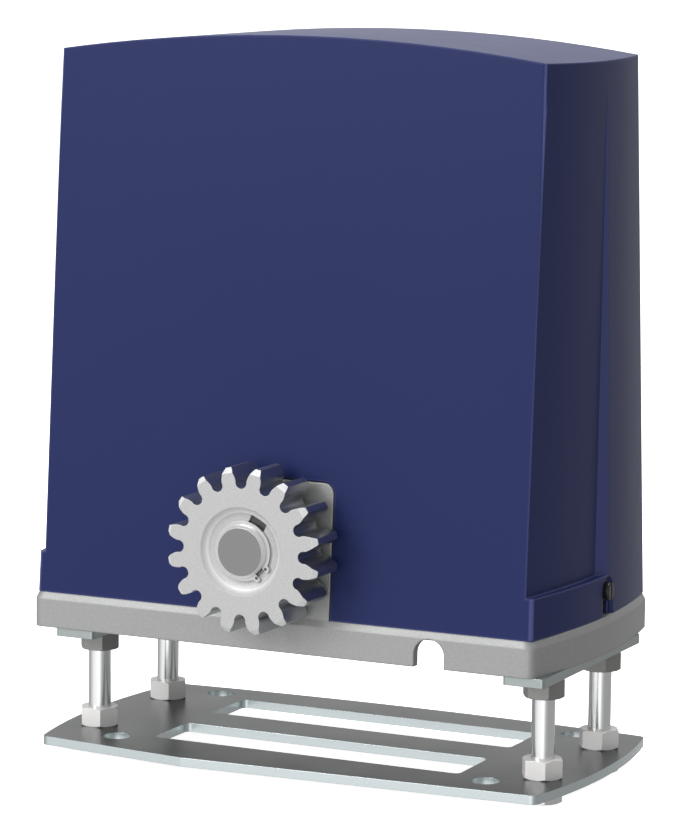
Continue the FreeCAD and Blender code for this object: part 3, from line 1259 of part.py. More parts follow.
# Control board on four standoffs, with its relays, terminals, fuse, chip and the three push buttons
def control_board():
    board = block("board_sheet", "board_middle - board_width / 2", "board_plane",
                  "board_level - board_height / 2",
                  "board_width", "board_thickness", "board_height")
    holes = [rod(f"board_hole{side}{end}", board_x(side), "board_plane", board_z(end),
                 "board_screw / 2 + thread_gap", "board_thickness", "Y") for side, end in screw_corners()]
    keep(cut("control_board", board, *holes), "control_board")
    standoffs, screws = [], []
    for side, end in screw_corners():
        spacer = Part.makeCylinder(number("standoff_diameter") / 2, number("standoff_height"))
        spacer = spacer.cut(Part.makeCylinder(number("board_screw") / 2 + number("thread_gap"),
                                              number("standoff_height")))
        spacer.rotate(Vector(), Vector(1, 0, 0), -90)
        standoffs.append(placed(spacer, number(board_x(side)), number("bracket_face + bracket_thickness"),
                                number(board_z(end))))
        screw = cap_screw(number("board_screw"),
                          number("standoff_height + board_thickness + bracket_thickness"))
        screw.rotate(Vector(), Vector(1, 0, 0), -90)
        screws.append(placed(screw, number(board_x(side)), number("board_plane + board_thickness"),
                             number(board_z(end))))
    group("board_standoffs", standoffs)
    group("board_screws", screws)

    face = number("board_plane + board_thickness")
    middle, level = number("board_middle"), number("board_level")

    def on_board(width, height, depth, x, z):
        return Part.makeBox(width, depth, height,
                            Vector(middle + x - width / 2, face, level + z - height / 2))

    def softened(shape, radius):
        outer = [edge for edge in shape.Edges
                 if edge.BoundBox.YMin > face + 0.1 or edge.BoundBox.YLength > 1]
        return shape.makeFillet(radius, outer)

    relay = [softened(on_board(12.6, 28.6, 10.2, x, 24), 0.8) for x in (-20, -3, 14)]
    group("relays", relay)

    blocks = []
    for x, ways in ((-24, 5), (2, 4), (24, 3)):
        pitch = 5.0
        width = ways * pitch
        body = on_board(width, 8.2, 8.5, x, -46)
        for way in range(ways):
            place = middle + x - width / 2 + pitch * (way + 0.5)
            entry = Part.makeBox(3.2, 3.0, 4, Vector(place - 1.6, face + 1.5, level - 50.2))
            screw_well = Part.makeCylinder(1.9, 3, Vector(place, face + 6, level - 45), Vector(0, 1, 0))
            screw_head = Part.makeCylinder(1.7, 1.6, Vector(place, face + 5.9, level - 45), Vector(0, 1, 0))
            slot = Part.makeBox(3.6, 0.7, 0.7, Vector(place - 1.8, face + 6.9, level - 45.35))
            body = body.cut(entry).cut(screw_well).fuse(screw_head.cut(slot))
        blocks.append(body)
    group("terminal_blocks", blocks)

    clips = [on_board(6, 7, 8, -30 + end * 9, -20) for end in (-1, 1)]
    tube = Part.makeCylinder(2.6, 20, Vector(middle - 40, face + 5.5, level - 20), Vector(1, 0, 0))
    group("fuse_holder", [clips[0].fuse([clips[1], tube])])

    chip = on_board(36, 15, 3.6, 8, -8)
    notch = Part.makeCylinder(1.6, 1, Vector(middle - 10, face + 2.9, level - 8), Vector(0, 1, 0))
    group("controller_chip", [chip.cut(notch)])

    travel = number("button_travel")
    button_frames = []
    for index, x in enumerate((6, 18, 30), 1):
        frame = on_board(6.2, 6.2, 3.6, x, -28)
        bore = Part.makeCylinder(1.85, 3, Vector(middle + x, face + 1, level - 28), Vector(0, 1, 0))
        button_frames.append(frame.cut(bore))
        cap = Part.makeCylinder(1.75, 4.6 - travel, Vector(middle + x, face + 1 + travel + 0.1, level - 28),
                                Vector(0, 1, 0))
        group(f"program_button_{index}", [cap])
    group("button_frames", button_frames)


# Run capacitor in its spring clip and the transformer with its laminated core and bobbin
def power_parts():
    x, y = "unit_x - capacitor_x", "unit_y - capacitor_y"
    radius = number("capacitor_diameter") / 2
    height = number("capacitor_height")
    can = Part.makeCylinder(radius, height)
    rims = [edge for edge in can.Edges if abs(edge.CenterOfMass.z - height) < 1e-6 and edge.Length > 10]
    can = can.makeFillet(2, rims)
    for side in (-1, 1):
        can = can.fuse(Part.makeBox(0.8, 6.3, 8, Vector(side * 6 - 0.4, -3.15, height - 0.5)))
    rise = number("rim_level + 0.5")
    group("run_capacitor", [placed(can, number(x), number(y), rise)])
    wall = number("clip_wall")
    band = Part.makeCylinder(radius + 0.1 + wall, 14).cut(Part.makeCylinder(radius + 0.1, 14))
    band = band.cut(Part.makeBox(10, 20, 14, Vector(-5, radius - 5, 0)))
    foot = Part.makeBox(12, 9.9, wall, Vector(-6, -radius - 10, 0))
    upright = Part.makeBox(12, 1.2, 22, Vector(-6, -radius - 1.3, 0))
    clip = placed(band, 0, 0, 8).fuse([upright, foot])
    clip = clip.cut(Part.makeCylinder(2.2, 3, Vector(0, -radius - 6, -1)))
    group("capacitor_clip", [placed(clip, number(x), number(y), number("rim_level"))])

    width, depth, tall = (number(name) for name in
                          ("transformer_width", "transformer_depth", "transformer_height"))
    core = Part.makeBox(width, depth * 0.5, tall, Vector(-width / 2, -depth * 0.25, 0))
    window = Part.makeBox(width / 4, depth, tall * 0.52)
    for side in (-1, 1):
        core = core.cut(placed(window, side * width * 0.25 - width / 8, -depth / 2, tall * 0.24))
    for side in (-1, 1):
        core = core.fuse(Part.makeBox(width, 1.6, 4, Vector(-width / 2, side * depth * 0.25 - 0.8, 0)))
    coil_height = tall * 0.52 - 0.6
    coil = Part.makeBox(width * 0.74, depth, coil_height,
                        Vector(-width * 0.37, -depth / 2, tall * 0.24 + 0.3))
    coil = coil.makeFillet(4, [edge for edge in coil.Edges if is_upright(edge)])
    tunnel = Part.makeBox(width * 0.26, depth * 0.5 + 0.1, coil_height + 2,
                          Vector(-width * 0.13, -depth * 0.25 - 0.05, tall * 0.24 - 0.7))
    coil = coil.cut(tunnel)
    base = ("unit_x + transformer_x", "unit_y - transformer_y", "rim_level")
    group("transformer_core", [placed(core, *(number(value) for value in base))])
    group("transformer_winding", [placed(coil.cut(core), *(number(value) for value in base))])


# Grommet in the floor hole of the base: a soft ring with a groove for the floor and a stepped neck
def cable_grommet():
    hole, floor = "cable_hole / 2", "base_floor"
    keep(turned("grommet_turned", [
        ("floor_bottom - 2", "6"), ("floor_bottom - 2", f"{hole} + 2.5"), ("floor_bottom", f"{hole} + 3"),
        ("floor_bottom", f"{hole} - 0.05"), (f"floor_bottom + {floor}", f"{hole} - 0.05"),
        (f"floor_bottom + {floor}", f"{hole} + 3"), (f"floor_bottom + {floor} + 2", f"{hole} + 2"),
        (f"floor_bottom + {floor} + 8", "9"), (f"floor_bottom + {floor} + 8", "6"),
    ], "Z", "unit_x + cable_hole_x", "unit_y + cable_hole_y", "0"), "cable_grommet")


# Release housing on the user's side, with its pocket, the lever, the key barrel and the rod to the gears
def manual_release():
    half = "release_width / 2"
    turn = "release_corner_radius * (1 - sqrt(0.5))"
    body = prism("release_block", [
        (f"shaft_x - {half}", "rim_level"), (f"shaft_x + {half}", "rim_level"),
        (f"shaft_x + {half}", "release_top - release_corner_radius", turn),
        (f"shaft_x + {half} - release_corner_radius", "release_top"),
        (f"shaft_x - {half} + release_corner_radius", "release_top", turn),
        (f"shaft_x - {half}", "release_top - release_corner_radius"),
    ], "release_front", "release_depth", "XZ")
    corner = "2.0"
    turn = f"{corner} * (1 - sqrt(0.5))"
    near, far = "shaft_x - release_pocket_width / 2", "shaft_x + release_pocket_width / 2"
    low, high = "shaft_level - release_pocket_height / 2", "shaft_level + release_pocket_height / 2"
    pocket = prism("release_pocket", [
        (f"{near} + {corner}", low), (f"{far} - {corner}", low, turn), (far, f"{low} + {corner}"),
        (far, f"{high} - {corner}", turn), (f"{far} - {corner}", high), (f"{near} + {corner}", high, turn),
        (near, f"{high} - {corner}"), (near, f"{low} + {corner}", turn),
    ], "release_back - release_pocket_depth", "release_pocket_depth + 1", "XZ")
    rod_hole = rod("release_rod_hole", "shaft_x", "release_front - 1", "shaft_level",
                   "release_rod / 2 + 0.1",
                   "release_depth", "Y")
    pin_hole = rod("release_pin_hole", "lever_pivot_x", "lever_pivot_y", f"{low} - lever_pin_seat",
                   "lever_pin / 2 + fit_gap", "release_pocket_height + 2 * lever_pin_seat")
    keeper = block("release_keeper", far + " - 1", "lever_inner - 4.2", "shaft_level - 8", "4.6", "4.6",
                   "16")
    hollow_low = block("release_hollow_low", f"shaft_x - {half} + 4", "release_front - 1", "rim_level - 1",
                       "release_width - 8", "release_depth - 3", f"{low} - rim_level - 3")
    pin_boss = block("release_pin_boss", "lever_pivot_x - 6", "lever_pivot_y - 6", "rim_level - 2",
                     "12", "12", "40")
    lightening = cut("release_hollow", hollow_low, pin_boss)
    keep(cut("release_housing", body, pocket, rod_hole, pin_hole, keeper, lightening), "release_housing")

    # the lever: a bar with a rounded pivot end, a finger scoop and the bore of the key barrel
    lever = doc.addObject("PartDesign::Body", "release_lever")
    planes = {feature.Role: feature for feature in lever.Origin.OriginFeatures}
    outline = lever.newObject("Sketcher::SketchObject", "lever_outline")
    outline.AttachmentSupport = [(planes["XY_Plane"], "")]
    outline.MapMode = "FlatFace"
    outline.setExpression("AttachmentOffset.Base.z", bound(f"{low} + lever_gap"))
    inner, outer = "lever_inner", "release_back"
    draw_outline(outline, [
        ("lever_pivot_x", inner), (f"{far} - lever_gap", inner), (f"{far} - lever_gap", outer),
        ("lever_pivot_x", outer, "lever_thickness / 2"),
    ])
    bar = lever.newObject("PartDesign::Pad", "lever_bar")
    bar.Profile = outline
    bind(bar, Length="release_pocket_height - 2 * lever_gap")
    bores = lever.newObject("Sketcher::SketchObject", "lever_bores")
    bores.AttachmentSupport = [(planes["XY_Plane"], "")]
    bores.MapMode = "FlatFace"
    draw_circle(bores, "lever_pivot_x", "lever_pivot_y", "lever_pin / 2 + 2 * fit_gap")
    pivot = lever.newObject("PartDesign::Pocket", "lever_pivot_bore")
    pivot.Profile = bores
    pivot.Type = "ThroughAll"
    pivot.Reversed = True
    face = lever.newObject("Sketcher::SketchObject", "lever_lock_outline")
    face.AttachmentSupport = [(planes["XZ_Plane"], "")]
    face.MapMode = "FlatFace"
    draw_circle(face, "key_x", "shaft_level", "key_barrel / 2 + key_room")
    lock = lever.newObject("PartDesign::Pocket", "lever_lock_bore")
    lock.Profile = face
    lock.Type = "ThroughAll"
    lock.Midplane = True
    scoop = lever.newObject("Sketcher::SketchObject", "lever_scoop_outline")
    scoop.AttachmentSupport = [(planes["XZ_Plane"], "")]
    scoop.MapMode = "FlatFace"
    scoop.setExpression("AttachmentOffset.Base.z", bound("0 - (release_back + 1)"))
    draw_outline(scoop, [
        ("shaft_x - 12", "shaft_level - 7"), ("shaft_x + 6", "shaft_level - 7"),
        ("shaft_x + 6", "shaft_level + 7"), ("shaft_x - 12", "shaft_level + 7"),
    ])
    dip = lever.newObject("PartDesign::Pocket", "lever_scoop")
    dip.Profile = scoop
    bind(dip, Length="5")
    lever.Tip = dip
    keep(lever, "release_lever")

    keep(rod("lever_pin", "lever_pivot_x", "lever_pivot_y", f"{low} - lever_pin_seat", "lever_pin / 2",
             "release_pocket_height + 2 * lever_pin_seat"), "lever_pin")

    # lock barrel with its key slit and the cam that turns behind the housing wall
    barrel = rod("key_barrel_body", "key_x", "lever_inner - 0.2", "shaft_level", "key_barrel / 2",
                 "lever_thickness + 0.2", "Y")
    slit = block("key_slit", "key_x - 0.6", "release_back - 5", "shaft_level - 4.5", "1.2", "6", "9")
    rim = rod("key_face", "key_x", "release_back - 0.8", "shaft_level", "5.5", "2", "Y")
    sunk = cut("key_face_ring", rim, rod("key_face_inner", "key_x", "release_back - 0.8", "shaft_level",
                                         "5", "2", "Y"))
    cam = block("key_cam", "key_x - 2.5", "lever_inner - 2.9", "shaft_level - 3.5", "5", "2.7", "14.5")
    neck = rod("key_neck", "key_x", "lever_inner - 2.9", "shaft_level", "3.5", "3.4", "Y")
    keep(cut("key_barrel", fuse("key_barrel_solid", barrel, cam, neck), slit, sunk), "key_barrel")

    keep(rod("release_rod_solid", "shaft_x", "hub_back + 1", "shaft_level", "release_rod / 2",
             "lever_inner - 0.5 - hub_back - 1", "Y"), "release_rod")


# Limit sensor seated on the round top of the gear housing
def limit_sensor():
    foot = block("sensor_body", "shaft_x - 20", "wheel_plane - 16", "shaft_level + housing_radius - 1",
                 "16", "14", "10")
    keep(cut("limit_sensor", foot, rod("sensor_seat", "shaft_x", "wheel_plane - 20", "shaft_level",
                                       "housing_radius + 0.02", "30", "Y")), "limit_sensor")


# Half-width of a bowed side at a distance from the unit's middle, where the bow stands over a half depth
def side_reach(half_width, bow, away, middle, half_depth):
    return f"(({half_width}) + ({bow}) * (1 - ((({away}) - ({middle})) / ({half_depth}))^2))"


# The cover's form: four leaning walls under an arched roof. The front half of each side is recessed above
# the skirt, and a ramp leads out of the recess to the flush rear half. The inset gives the outer face or,
# with a wall, the inner one
def cover_form(name, inset):
    depth = f"cover_half_depth - {inset}"
    low_radius, high_radius = "cover_corner_radius", "cover_corner_radius / 2"
    low = unit_outline(f"cover_half_width - {inset}", depth, depth, "cover_bow", low_radius)
    high = unit_outline(f"cover_top_half_width - {inset}", f"{depth} - cover_front_lean",
                        f"{depth} - cover_back_lean", "cover_top_bow", high_radius)
    walls = loft(name + "_walls", low, "rim_level", high, "cover_level_top")
    reach = "cover_half_width + 2 * cover_bow"
    sag = f"(roof_radius - sqrt(roof_radius^2 - ({reach})^2))"
    roof = prism(name + "_roof", [
        (f"unit_x - ({reach})", "rim_level - 1"), (f"unit_x + ({reach})", "rim_level - 1"),
        (f"unit_x + ({reach})", f"roof_level - {inset} - {sag}", sag),
        (f"unit_x - ({reach})", f"roof_level - {inset} - {sag}"),
    ], "unit_y - 2 * cover_half_depth", "4 * cover_half_depth", "XZ")
    body = common(name + "_body", walls, roof)

    # a section of the recess tool: its inner side follows the panel and a slanted side makes the ramp
    def recess(side, panel, bow, start, middle, half_depth):
        ahead, near = "(0 - cover_half_depth - 1)", f"(({start}) + {inset})"
        inner = side_reach(f"({panel}) - {inset}", bow, near, middle, half_depth)
        front = side_reach(f"({panel}) - {inset}", bow, ahead, middle, half_depth)
        outer, far = f"({inner} + 5)", f"({near} + 5 * ramp_slope)"
        rise = f"0 - ({bow}) * (({near} - {ahead}) / (2 * ({half_depth})))^2"
        sign = "+" if side == "1" else "-"
        front, outer, inner = (f"unit_x {sign} {reach}" for reach in (front, outer, inner))
        near, far, ahead = (f"unit_y + {away}" for away in (near, far, ahead))
        if side == "1":
            return [(front, ahead), (outer, ahead), (outer, far), (inner, near, rise)]
        return [(front, ahead, rise), (inner, near), (outer, far), (outer, ahead)]

    recesses = []
    for side in ("-1", "1"):
        bottom = recess(side, "panel_half_width", "panel_bow", "ramp_start", "0", f"{depth} - {low_radius}")
        top = recess(side, "panel_top_half_width", "panel_top_bow", "ramp_top_start",
                     "(cover_front_lean - cover_back_lean) / 2",
                     f"{depth} - (cover_front_lean + cover_back_lean) / 2 - {high_radius}")
        recesses.append(loft(f"{name}_recess{side}", bottom, f"skirt_level - {inset}", top,
                             "cover_level_top"))
    return cut(name, body, *recesses)


def cover():
    outer = cover_form("cover_outside", "0")
    inner = cover_form("cover_inside", "cover_wall")
    tools = [inner]
    for side in ("-1", "1"):
        surface = "cover_half_width + cover_bow"
        near = f"unit_x + {side} * ({surface} - cover_recess_depth)" + (" - 20" if side == "-1" else "")
        half = "cover_recess_width / 2"
        tools.append(prism("cover_recess" + side, [
            (f"unit_y + cover_screw_y - {half}", "rim_level - 1"),
            (f"unit_y + cover_screw_y + {half}", "rim_level - 1"),
            (f"unit_y + cover_screw_y + {half}", "cover_screw_level", half),
            (f"unit_y + cover_screw_y - {half}", "cover_screw_level"),
        ], near, "20", "YZ"))
        half = "cover_slot_width / 2"
        tools.append(prism("cover_slot" + side, [
            (f"unit_y + cover_screw_y - {half}", "rim_level - 1"),
            (f"unit_y + cover_screw_y + {half}", "rim_level - 1"),
            (f"unit_y + cover_screw_y + {half}", "cover_screw_level", half),
            (f"unit_y + cover_screw_y - {half}", "cover_screw_level"),
        ], f"unit_x + {side} * ({surface}) - 12", "24", "YZ"))
    for name, half, top, radius, start in (
            ("tongue", "tongue_width / 2 + cover_gap", "shaft_level + tongue_rise + cover_gap",
             "tongue_corner_radius + cover_gap", "unit_y - 80"),
            ("release", "release_width / 2 + cover_gap", "release_top + cover_gap",
             "release_corner_radius + cover_gap", "unit_y + 40")):
        turn = f"({radius}) * (1 - sqrt(0.5))"
        tools.append(prism(f"{name}_opening", [
            (f"shaft_x - ({half})", "rim_level - 1"), (f"shaft_x + ({half})", "rim_level - 1"),
            (f"shaft_x + ({half})", f"{top} - ({radius})", turn), (f"shaft_x + ({half}) - ({radius})", top),
            (f"shaft_x - ({half}) + ({radius})", top, turn), (f"shaft_x - ({half})", f"{top} - ({radius})"),
        ], start, "40", "XZ"))
    shell = outer
    for step, tool in enumerate(tools):
        shell = cut(f"cover_cut{step}", shell, tool, refine=False)
    keep(shell, "cover_shell")

    screws = []
    for side in (-1, 1):
        head = Part.makeCylinder(number("cover_screw_head") / 2, number("cover_screw_head_height"))
        rim = [edge for edge in head.Edges
               if edge.CenterOfMass.z > 1 and edge.Length > 5 and len(edge.Vertexes) == 1]
        head = head.makeFillet(0.8, rim)
        head = head.cut(Part.makeBox(20, 1.2, 1.4,
                                     Vector(-10, -0.6, number("cover_screw_head_height") - 1.4)))
        screw = head.fuse(Part.makeCylinder(number("cover_screw_diameter") / 2, number("cover_screw_length"),
                                            Vector(0, 0, -number("cover_screw_length"))))
        screw.rotate(Vector(), Vector(0, 1, 0), 90 * side)
        reach = number("cover_half_width + cover_bow - cover_recess_depth") + 0.05
        screws.append(placed(screw, number("unit_x") + side * reach, number("unit_y + cover_screw_y"),
                             number("cover_screw_level")))
    group("cover_screws", screws)


board_bracket()
control_board()
power_parts()
cable_grommet()
manual_release()
limit_sensor()
cover()


def export():
    doc.recompute()
    for thing in doc.Objects:
        if "Invalid" in thing.State or "Error" in thing.State:
            raise RuntimeError(f"{thing.Name} failed: {thing.State}")
    for thing in nodes:
        shape = thing.Shape
        if shape.isNull() or not shape.isValid():
            raise RuntimeError(f"{thing.Label} has no valid shape")
    for thing in nodes:
        thing.Shape.exportStep(f"parts/{thing.Label}.step")
        box = thing.Shape.BoundBox
        print(f"{thing.Label}: {len(thing.Shape.Solids)} solid(s), {thing.Shape.Volume:.0f} mm3,",
              f"x {box.XMin:.1f} {box.XMax:.1f} y {box.YMin:.1f} {box.YMax:.1f} z {box.ZMin:.1f} {box.ZMax:.1f}")


export()
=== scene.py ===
import math
import bpy
from mathutils import Matrix, Vector


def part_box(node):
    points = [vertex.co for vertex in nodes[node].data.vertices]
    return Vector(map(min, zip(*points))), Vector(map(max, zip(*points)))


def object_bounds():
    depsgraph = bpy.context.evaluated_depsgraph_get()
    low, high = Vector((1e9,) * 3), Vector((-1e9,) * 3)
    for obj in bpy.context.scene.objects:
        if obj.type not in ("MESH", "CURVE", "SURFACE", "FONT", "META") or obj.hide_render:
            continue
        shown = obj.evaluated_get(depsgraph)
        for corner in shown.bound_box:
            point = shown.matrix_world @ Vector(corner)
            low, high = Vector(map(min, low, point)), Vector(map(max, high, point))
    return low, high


# Sliding gate motor: finishes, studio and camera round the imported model.
# Metres, in the part's own frame: +X to the right along the gate, -Y towards the rack, +Z up.
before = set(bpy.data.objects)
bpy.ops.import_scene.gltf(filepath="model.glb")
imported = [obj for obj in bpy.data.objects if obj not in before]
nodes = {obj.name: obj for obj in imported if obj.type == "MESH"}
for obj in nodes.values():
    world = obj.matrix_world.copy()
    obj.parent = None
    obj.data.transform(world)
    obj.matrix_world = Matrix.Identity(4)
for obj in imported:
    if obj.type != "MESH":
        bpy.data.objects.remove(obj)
cadBounds = [list(corner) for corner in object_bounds()]
painted = set()
print("frame loaded:", len(nodes), "nodes")


# One output socket, so that shader maths reads as Python
class Wire:
    def __init__(self, shading, socket):
        self.shading = shading
        self.socket = socket

    def maths(self, operation, first, second):
        kind, ends = "ShaderNodeMath", (first, second)
        if any(isinstance(end, Wire) and end.socket.type == "VECTOR" for end in ends):
            kind = "ShaderNodeVectorMath"
            ends = [end if isinstance(end, (Wire, tuple)) else (end, end, end) for end in ends]
        return self.shading.node(kind, {"operation": operation}, {0: ends[0], 1: ends[1]})

    def __add__(self, other):
        return self.maths("ADD", self, other)

    def __radd__(self, other):
        return self.maths("ADD", other, self)

    def __sub__(self, other):
        return self.maths("SUBTRACT", self, other)

    def __rsub__(self, other):
        return self.maths("SUBTRACT", other, self)

    def __mul__(self, other):
        return self.maths("MULTIPLY", self, other)

    def __rmul__(self, other):
        return self.maths("MULTIPLY", other, self)

    def __truediv__(self, other):
        return self.maths("DIVIDE", self, other)

    def __rtruediv__(self, other):
        return self.maths("DIVIDE", other, self)

    def __pow__(self, other):
        return self.maths("POWER", self, other)

    def __rpow__(self, other):
        return self.maths("POWER", other, self)

    def __gt__(self, other):
        return self.maths("GREATER_THAN", self, other)

    def __lt__(self, other):
        return self.maths("LESS_THAN", self, other)


# The node tree of a material or of the sky, emptied and ready for new nodes
class Shading:
    def __init__(self, owner):
        owner.use_nodes = True
        self.tree = owner.node_tree
        self.tree.nodes.clear()

    def feed(self, socket, value):
        if isinstance(value, Wire):
            self.tree.links.new(value.socket, socket)
        else:
            socket.default_value = value

    def node(self, kind, settings, sockets, output=0):
        made = self.tree.nodes.new(kind)
        for name, value in settings.items():
            if name == "stops":
                self.setStops(made.color_ramp, value)
            else:
                setattr(made, name, value)
        for name, value in sockets.items():
            self.feed(made.inputs[name], value)
        return Wire(self, made.outputs[output])

    def setStops(self, ramp, stops):
        while len(ramp.elements) < len(stops):
            ramp.elements.new(0.5)
        for element, (position, level) in zip(ramp.elements, stops):
            element.position = position
            element.color = (level, level, level, 1)

    # joins a shader to the tree's end, of the kind Material or World
    def show(self, kind, shader):
        end = self.tree.nodes.new("ShaderNodeOutput" + kind)
        self.tree.links.new(shader, end.inputs["Surface"])


# One material, and the methods that every finish is made with
class Finish(Shading):
    def __init__(self, name):
        self.material = bpy.data.materials.new(name)
        super().__init__(self.material)
        self.shader = self.tree.nodes.new("ShaderNodeBsdfPrincipled")
        self.show("Material", self.shader.outputs[0])
        self.place = self.node("ShaderNodeTexCoord", {}, {}, "Object")
        self.facing = self.node("ShaderNodeTexCoord", {}, {}, "Normal")

    def set(self, **sockets):
        for name, value in sockets.items():
            if isinstance(value, tuple) and len(value) == 3:
                value = (*value, 1)
            self.feed(self.shader.inputs[name.replace("_", " ")], value)

    def noise(self, perMetre, detail=2.0, stretch=(1, 1, 1)):
        place = self.place * stretch
        return self.node("ShaderNodeTexNoise", {}, {"Vector": place, "Scale": perMetre, "Detail": detail})

    def ramp(self, value, *stops):
        return self.node("ShaderNodeValToRGB", {"stops": stops}, {0: value})

    def mix(self, share, low, high):
        low, high = [(*end, 1) if isinstance(end, tuple) else end for end in (low, high)]
        return self.node("ShaderNodeMix", {"data_type": "RGBA"}, {0: share, 6: low, 7: high}, 2)

    # one part of a vector, which is the place on the piece unless another is given
    def axis(self, name, source=None):
        return self.node("ShaderNodeSeparateXYZ", {}, {0: source or self.place}, name)

    # how squarely a surface faces along an axis, from 0 to 1
    def faces(self, axis):
        return self.node("ShaderNodeMath", {"operation": "ABSOLUTE"}, {0: self.axis(axis, self.facing)})

    def edge(self, radius):
        return self.node("ShaderNodeBevel", {"samples": 6}, {"Radius": radius})

    # 1 along the sharp edges of a solid and 0 on its faces; it marks where the cover's painted edge
    # highlight goes
    def rim(self, radius):
        flat = self.node("ShaderNodeNewGeometry", {}, {}, "Normal")
        turned = self.node("ShaderNodeVectorMath", {"operation": "DOT_PRODUCT"},
                           {0: self.edge(radius), 1: flat}, "Value")
        return self.ramp(1 - turned, (0.004, 0), (0.09, 1))

    def bump(self, height, depth, under=None):
        sockets = {"Height": height, "Distance": depth, "Strength": 1.0}
        if under:
            sockets["Normal"] = under
        return self.node("ShaderNodeBump", {}, sockets)

    # distance from a line through a place, along one of the axes
    def away(self, axis, centre):
        kept = {"X": (0, 1, 1), "Y": (1, 0, 1), "Z": (1, 1, 0)}[axis]
        offset = (self.place - tuple(centre)) * kept
        return self.node("ShaderNodeVectorMath", {"operation": "LENGTH"}, {0: offset}, "Value")

    # -1 to 1 and back, once in each spacing
    def wave(self, value, spacing):
        turns = value * (2 * math.pi / spacing)
        return self.node("ShaderNodeMath", {"operation": "SINE"}, {0: turns})

    def paint(self, *names):
        for name in names:
            slots = nodes[name].material_slots
            if not slots:
                nodes[name].data.materials.append(self.material)
            for slot in slots:
                slot.material = self.material
        painted.update(names)


def centreOf(name):
    low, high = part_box(name)
    return (low + high) / 2


# Blue cover, moulded with a fine satin grain, with painted highlights: a paler colour along its upright
# corners and sharp edges, standing in for light glinting off them
def coverFinish():
    cover = {"colour": (0.0175, 0.0250, 0.098), "flowColour": (0.0196, 0.0280, 0.1078),
             "rim": (0.085, 0.100, 0.25), "rimShare": 0.8, "cornerHighlightShare": 0.9,
             "cornerHighlightOutward": ((0.25, 0), (0.5, 1)), "cornerHighlightAhead": ((0.35, 0), (0.6, 1)),
             "roughness": 0.30, "flowRoughness": 0.04, "rubRoughness": 0.05, "specular": 0.1,
             "flowPerMetre": 7, "rubPerMetre": 60, "rubStretch": (1, 1, 0.35),
             "grainPerMetre": 900, "grainDepth": 0.00001, "edgeRadius": 0.0013}
    blue = Finish("coverBlue")
    grain = blue.noise(cover["grainPerMetre"], 3)
    flow = blue.noise(cover["flowPerMetre"], 2)
    rub = blue.noise(cover["rubPerMetre"], 4, cover["rubStretch"])
    colour = blue.mix(flow, cover["colour"], cover["flowColour"])
    outward = blue.ramp(blue.faces("X"), *cover["cornerHighlightOutward"])
    ahead = blue.ramp(blue.faces("Y"), *cover["cornerHighlightAhead"])
    # painted highlight: the rounded upright corners between front and side are coloured paler, standing in
    # for the light they reflect
    colour = blue.mix(outward * ahead * cover["cornerHighlightShare"], colour, cover["rim"])
    # painted highlight: a paler colour laid along the cover's sharp edges
    colour = blue.mix(blue.rim(cover["edgeRadius"]) * cover["rimShare"], colour, cover["rim"])
    roughness = cover["roughness"] + flow * cover["flowRoughness"] + rub * cover["rubRoughness"]
    blue.set(Base_Color=colour, Roughness=roughness, Specular_IOR_Level=cover["specular"],
             Normal=blue.bump(grain, cover["grainDepth"], blue.edge(cover["edgeRadius"])))
    blue.paint("cover_shell")


# Grey base, die cast and painted with a fine metallic texture
def baseFinish():
    base = {"colour": (0.325, 0.33, 0.325), "fleck": (0.385, 0.39, 0.385), "pit": (0.275, 0.28, 0.275),
            "fleckStops": ((0.55, 0), (0.68, 1)), "pitStops": ((0.30, 1), (0.42, 0)),
            "roughness": 0.44, "cloudRoughness": 0.08, "fleckRoughness": 0.06, "metallic": 0.3,
            "fleckPerMetre": 2400, "cloudPerMetre": 40, "cloudHeight": 0.4, "depth": 0.00002,
            "edgeRadius": 0.001}
    grey = Finish("castGrey")
    fleck = grey.noise(base["fleckPerMetre"], 1)
    cloud = grey.noise(base["cloudPerMetre"], 3)
    colour = grey.mix(grey.ramp(fleck, *base["fleckStops"]), base["colour"], base["fleck"])
    colour = grey.mix(grey.ramp(fleck, *base["pitStops"]), colour, base["pit"])
    roughness = base["roughness"] + cloud * base["cloudRoughness"] - fleck * base["fleckRoughness"]
    height = fleck + cloud * base["cloudHeight"]
    grey.set(Base_Color=colour, Metallic=base["metallic"], Roughness=roughness,
             Normal=grey.bump(height, base["depth"], grey.edge(base["edgeRadius"])))
    grey.paint("base_casting")


# Zinc plated sheet: faint rolling lines, bright cut edges, and a face coloured darker than its edges, which
# on the plate is painted shade for the dark base it mirrors
def sheetZinc(name, sheet, *painted):
    wear = {"edgeStops": ((0.35, 1), (0.65, 0)), "linesPerMetre": 900, "lineStretch": (0.04, 1, 1),
            "cloudPerMetre": 28, "cloudShare": 0.7, "cloudRoughness": 0.10,
            "spotsPerMetre": 420, "spotShare": 0.3, "spotHeight": 0.5,
            "lineRoughness": 0.06, "edgeRoughness": 0.08, "metallic": 0.9}
    zinc = Finish(name)
    cutEdge = zinc.ramp(zinc.faces("Z"), *wear["edgeStops"])
    rolling = zinc.noise(wear["linesPerMetre"], 2, wear["lineStretch"])
    cloud = zinc.noise(wear["cloudPerMetre"], 3)
    spots = zinc.noise(wear["spotsPerMetre"], 2)
    face = zinc.mix(cloud * wear["cloudShare"] + spots * wear["spotShare"], sheet["face"], sheet["pale"])
    roughness = sheet["roughness"] + cloud * wear["cloudRoughness"] + rolling * wear["lineRoughness"]
    # painted shade: the colour is split by facing, so the upward face is darker than the upright cut edges
    zinc.set(Base_Color=zinc.mix(cutEdge, face, sheet["edge"]), Metallic=wear["metallic"],
             Roughness=roughness - cutEdge * wear["edgeRoughness"],
             Normal=zinc.bump(rolling + spots * wear["spotHeight"], sheet["depth"],
                              zinc.edge(sheet["edgeRadius"])))
    zinc.paint(*painted)


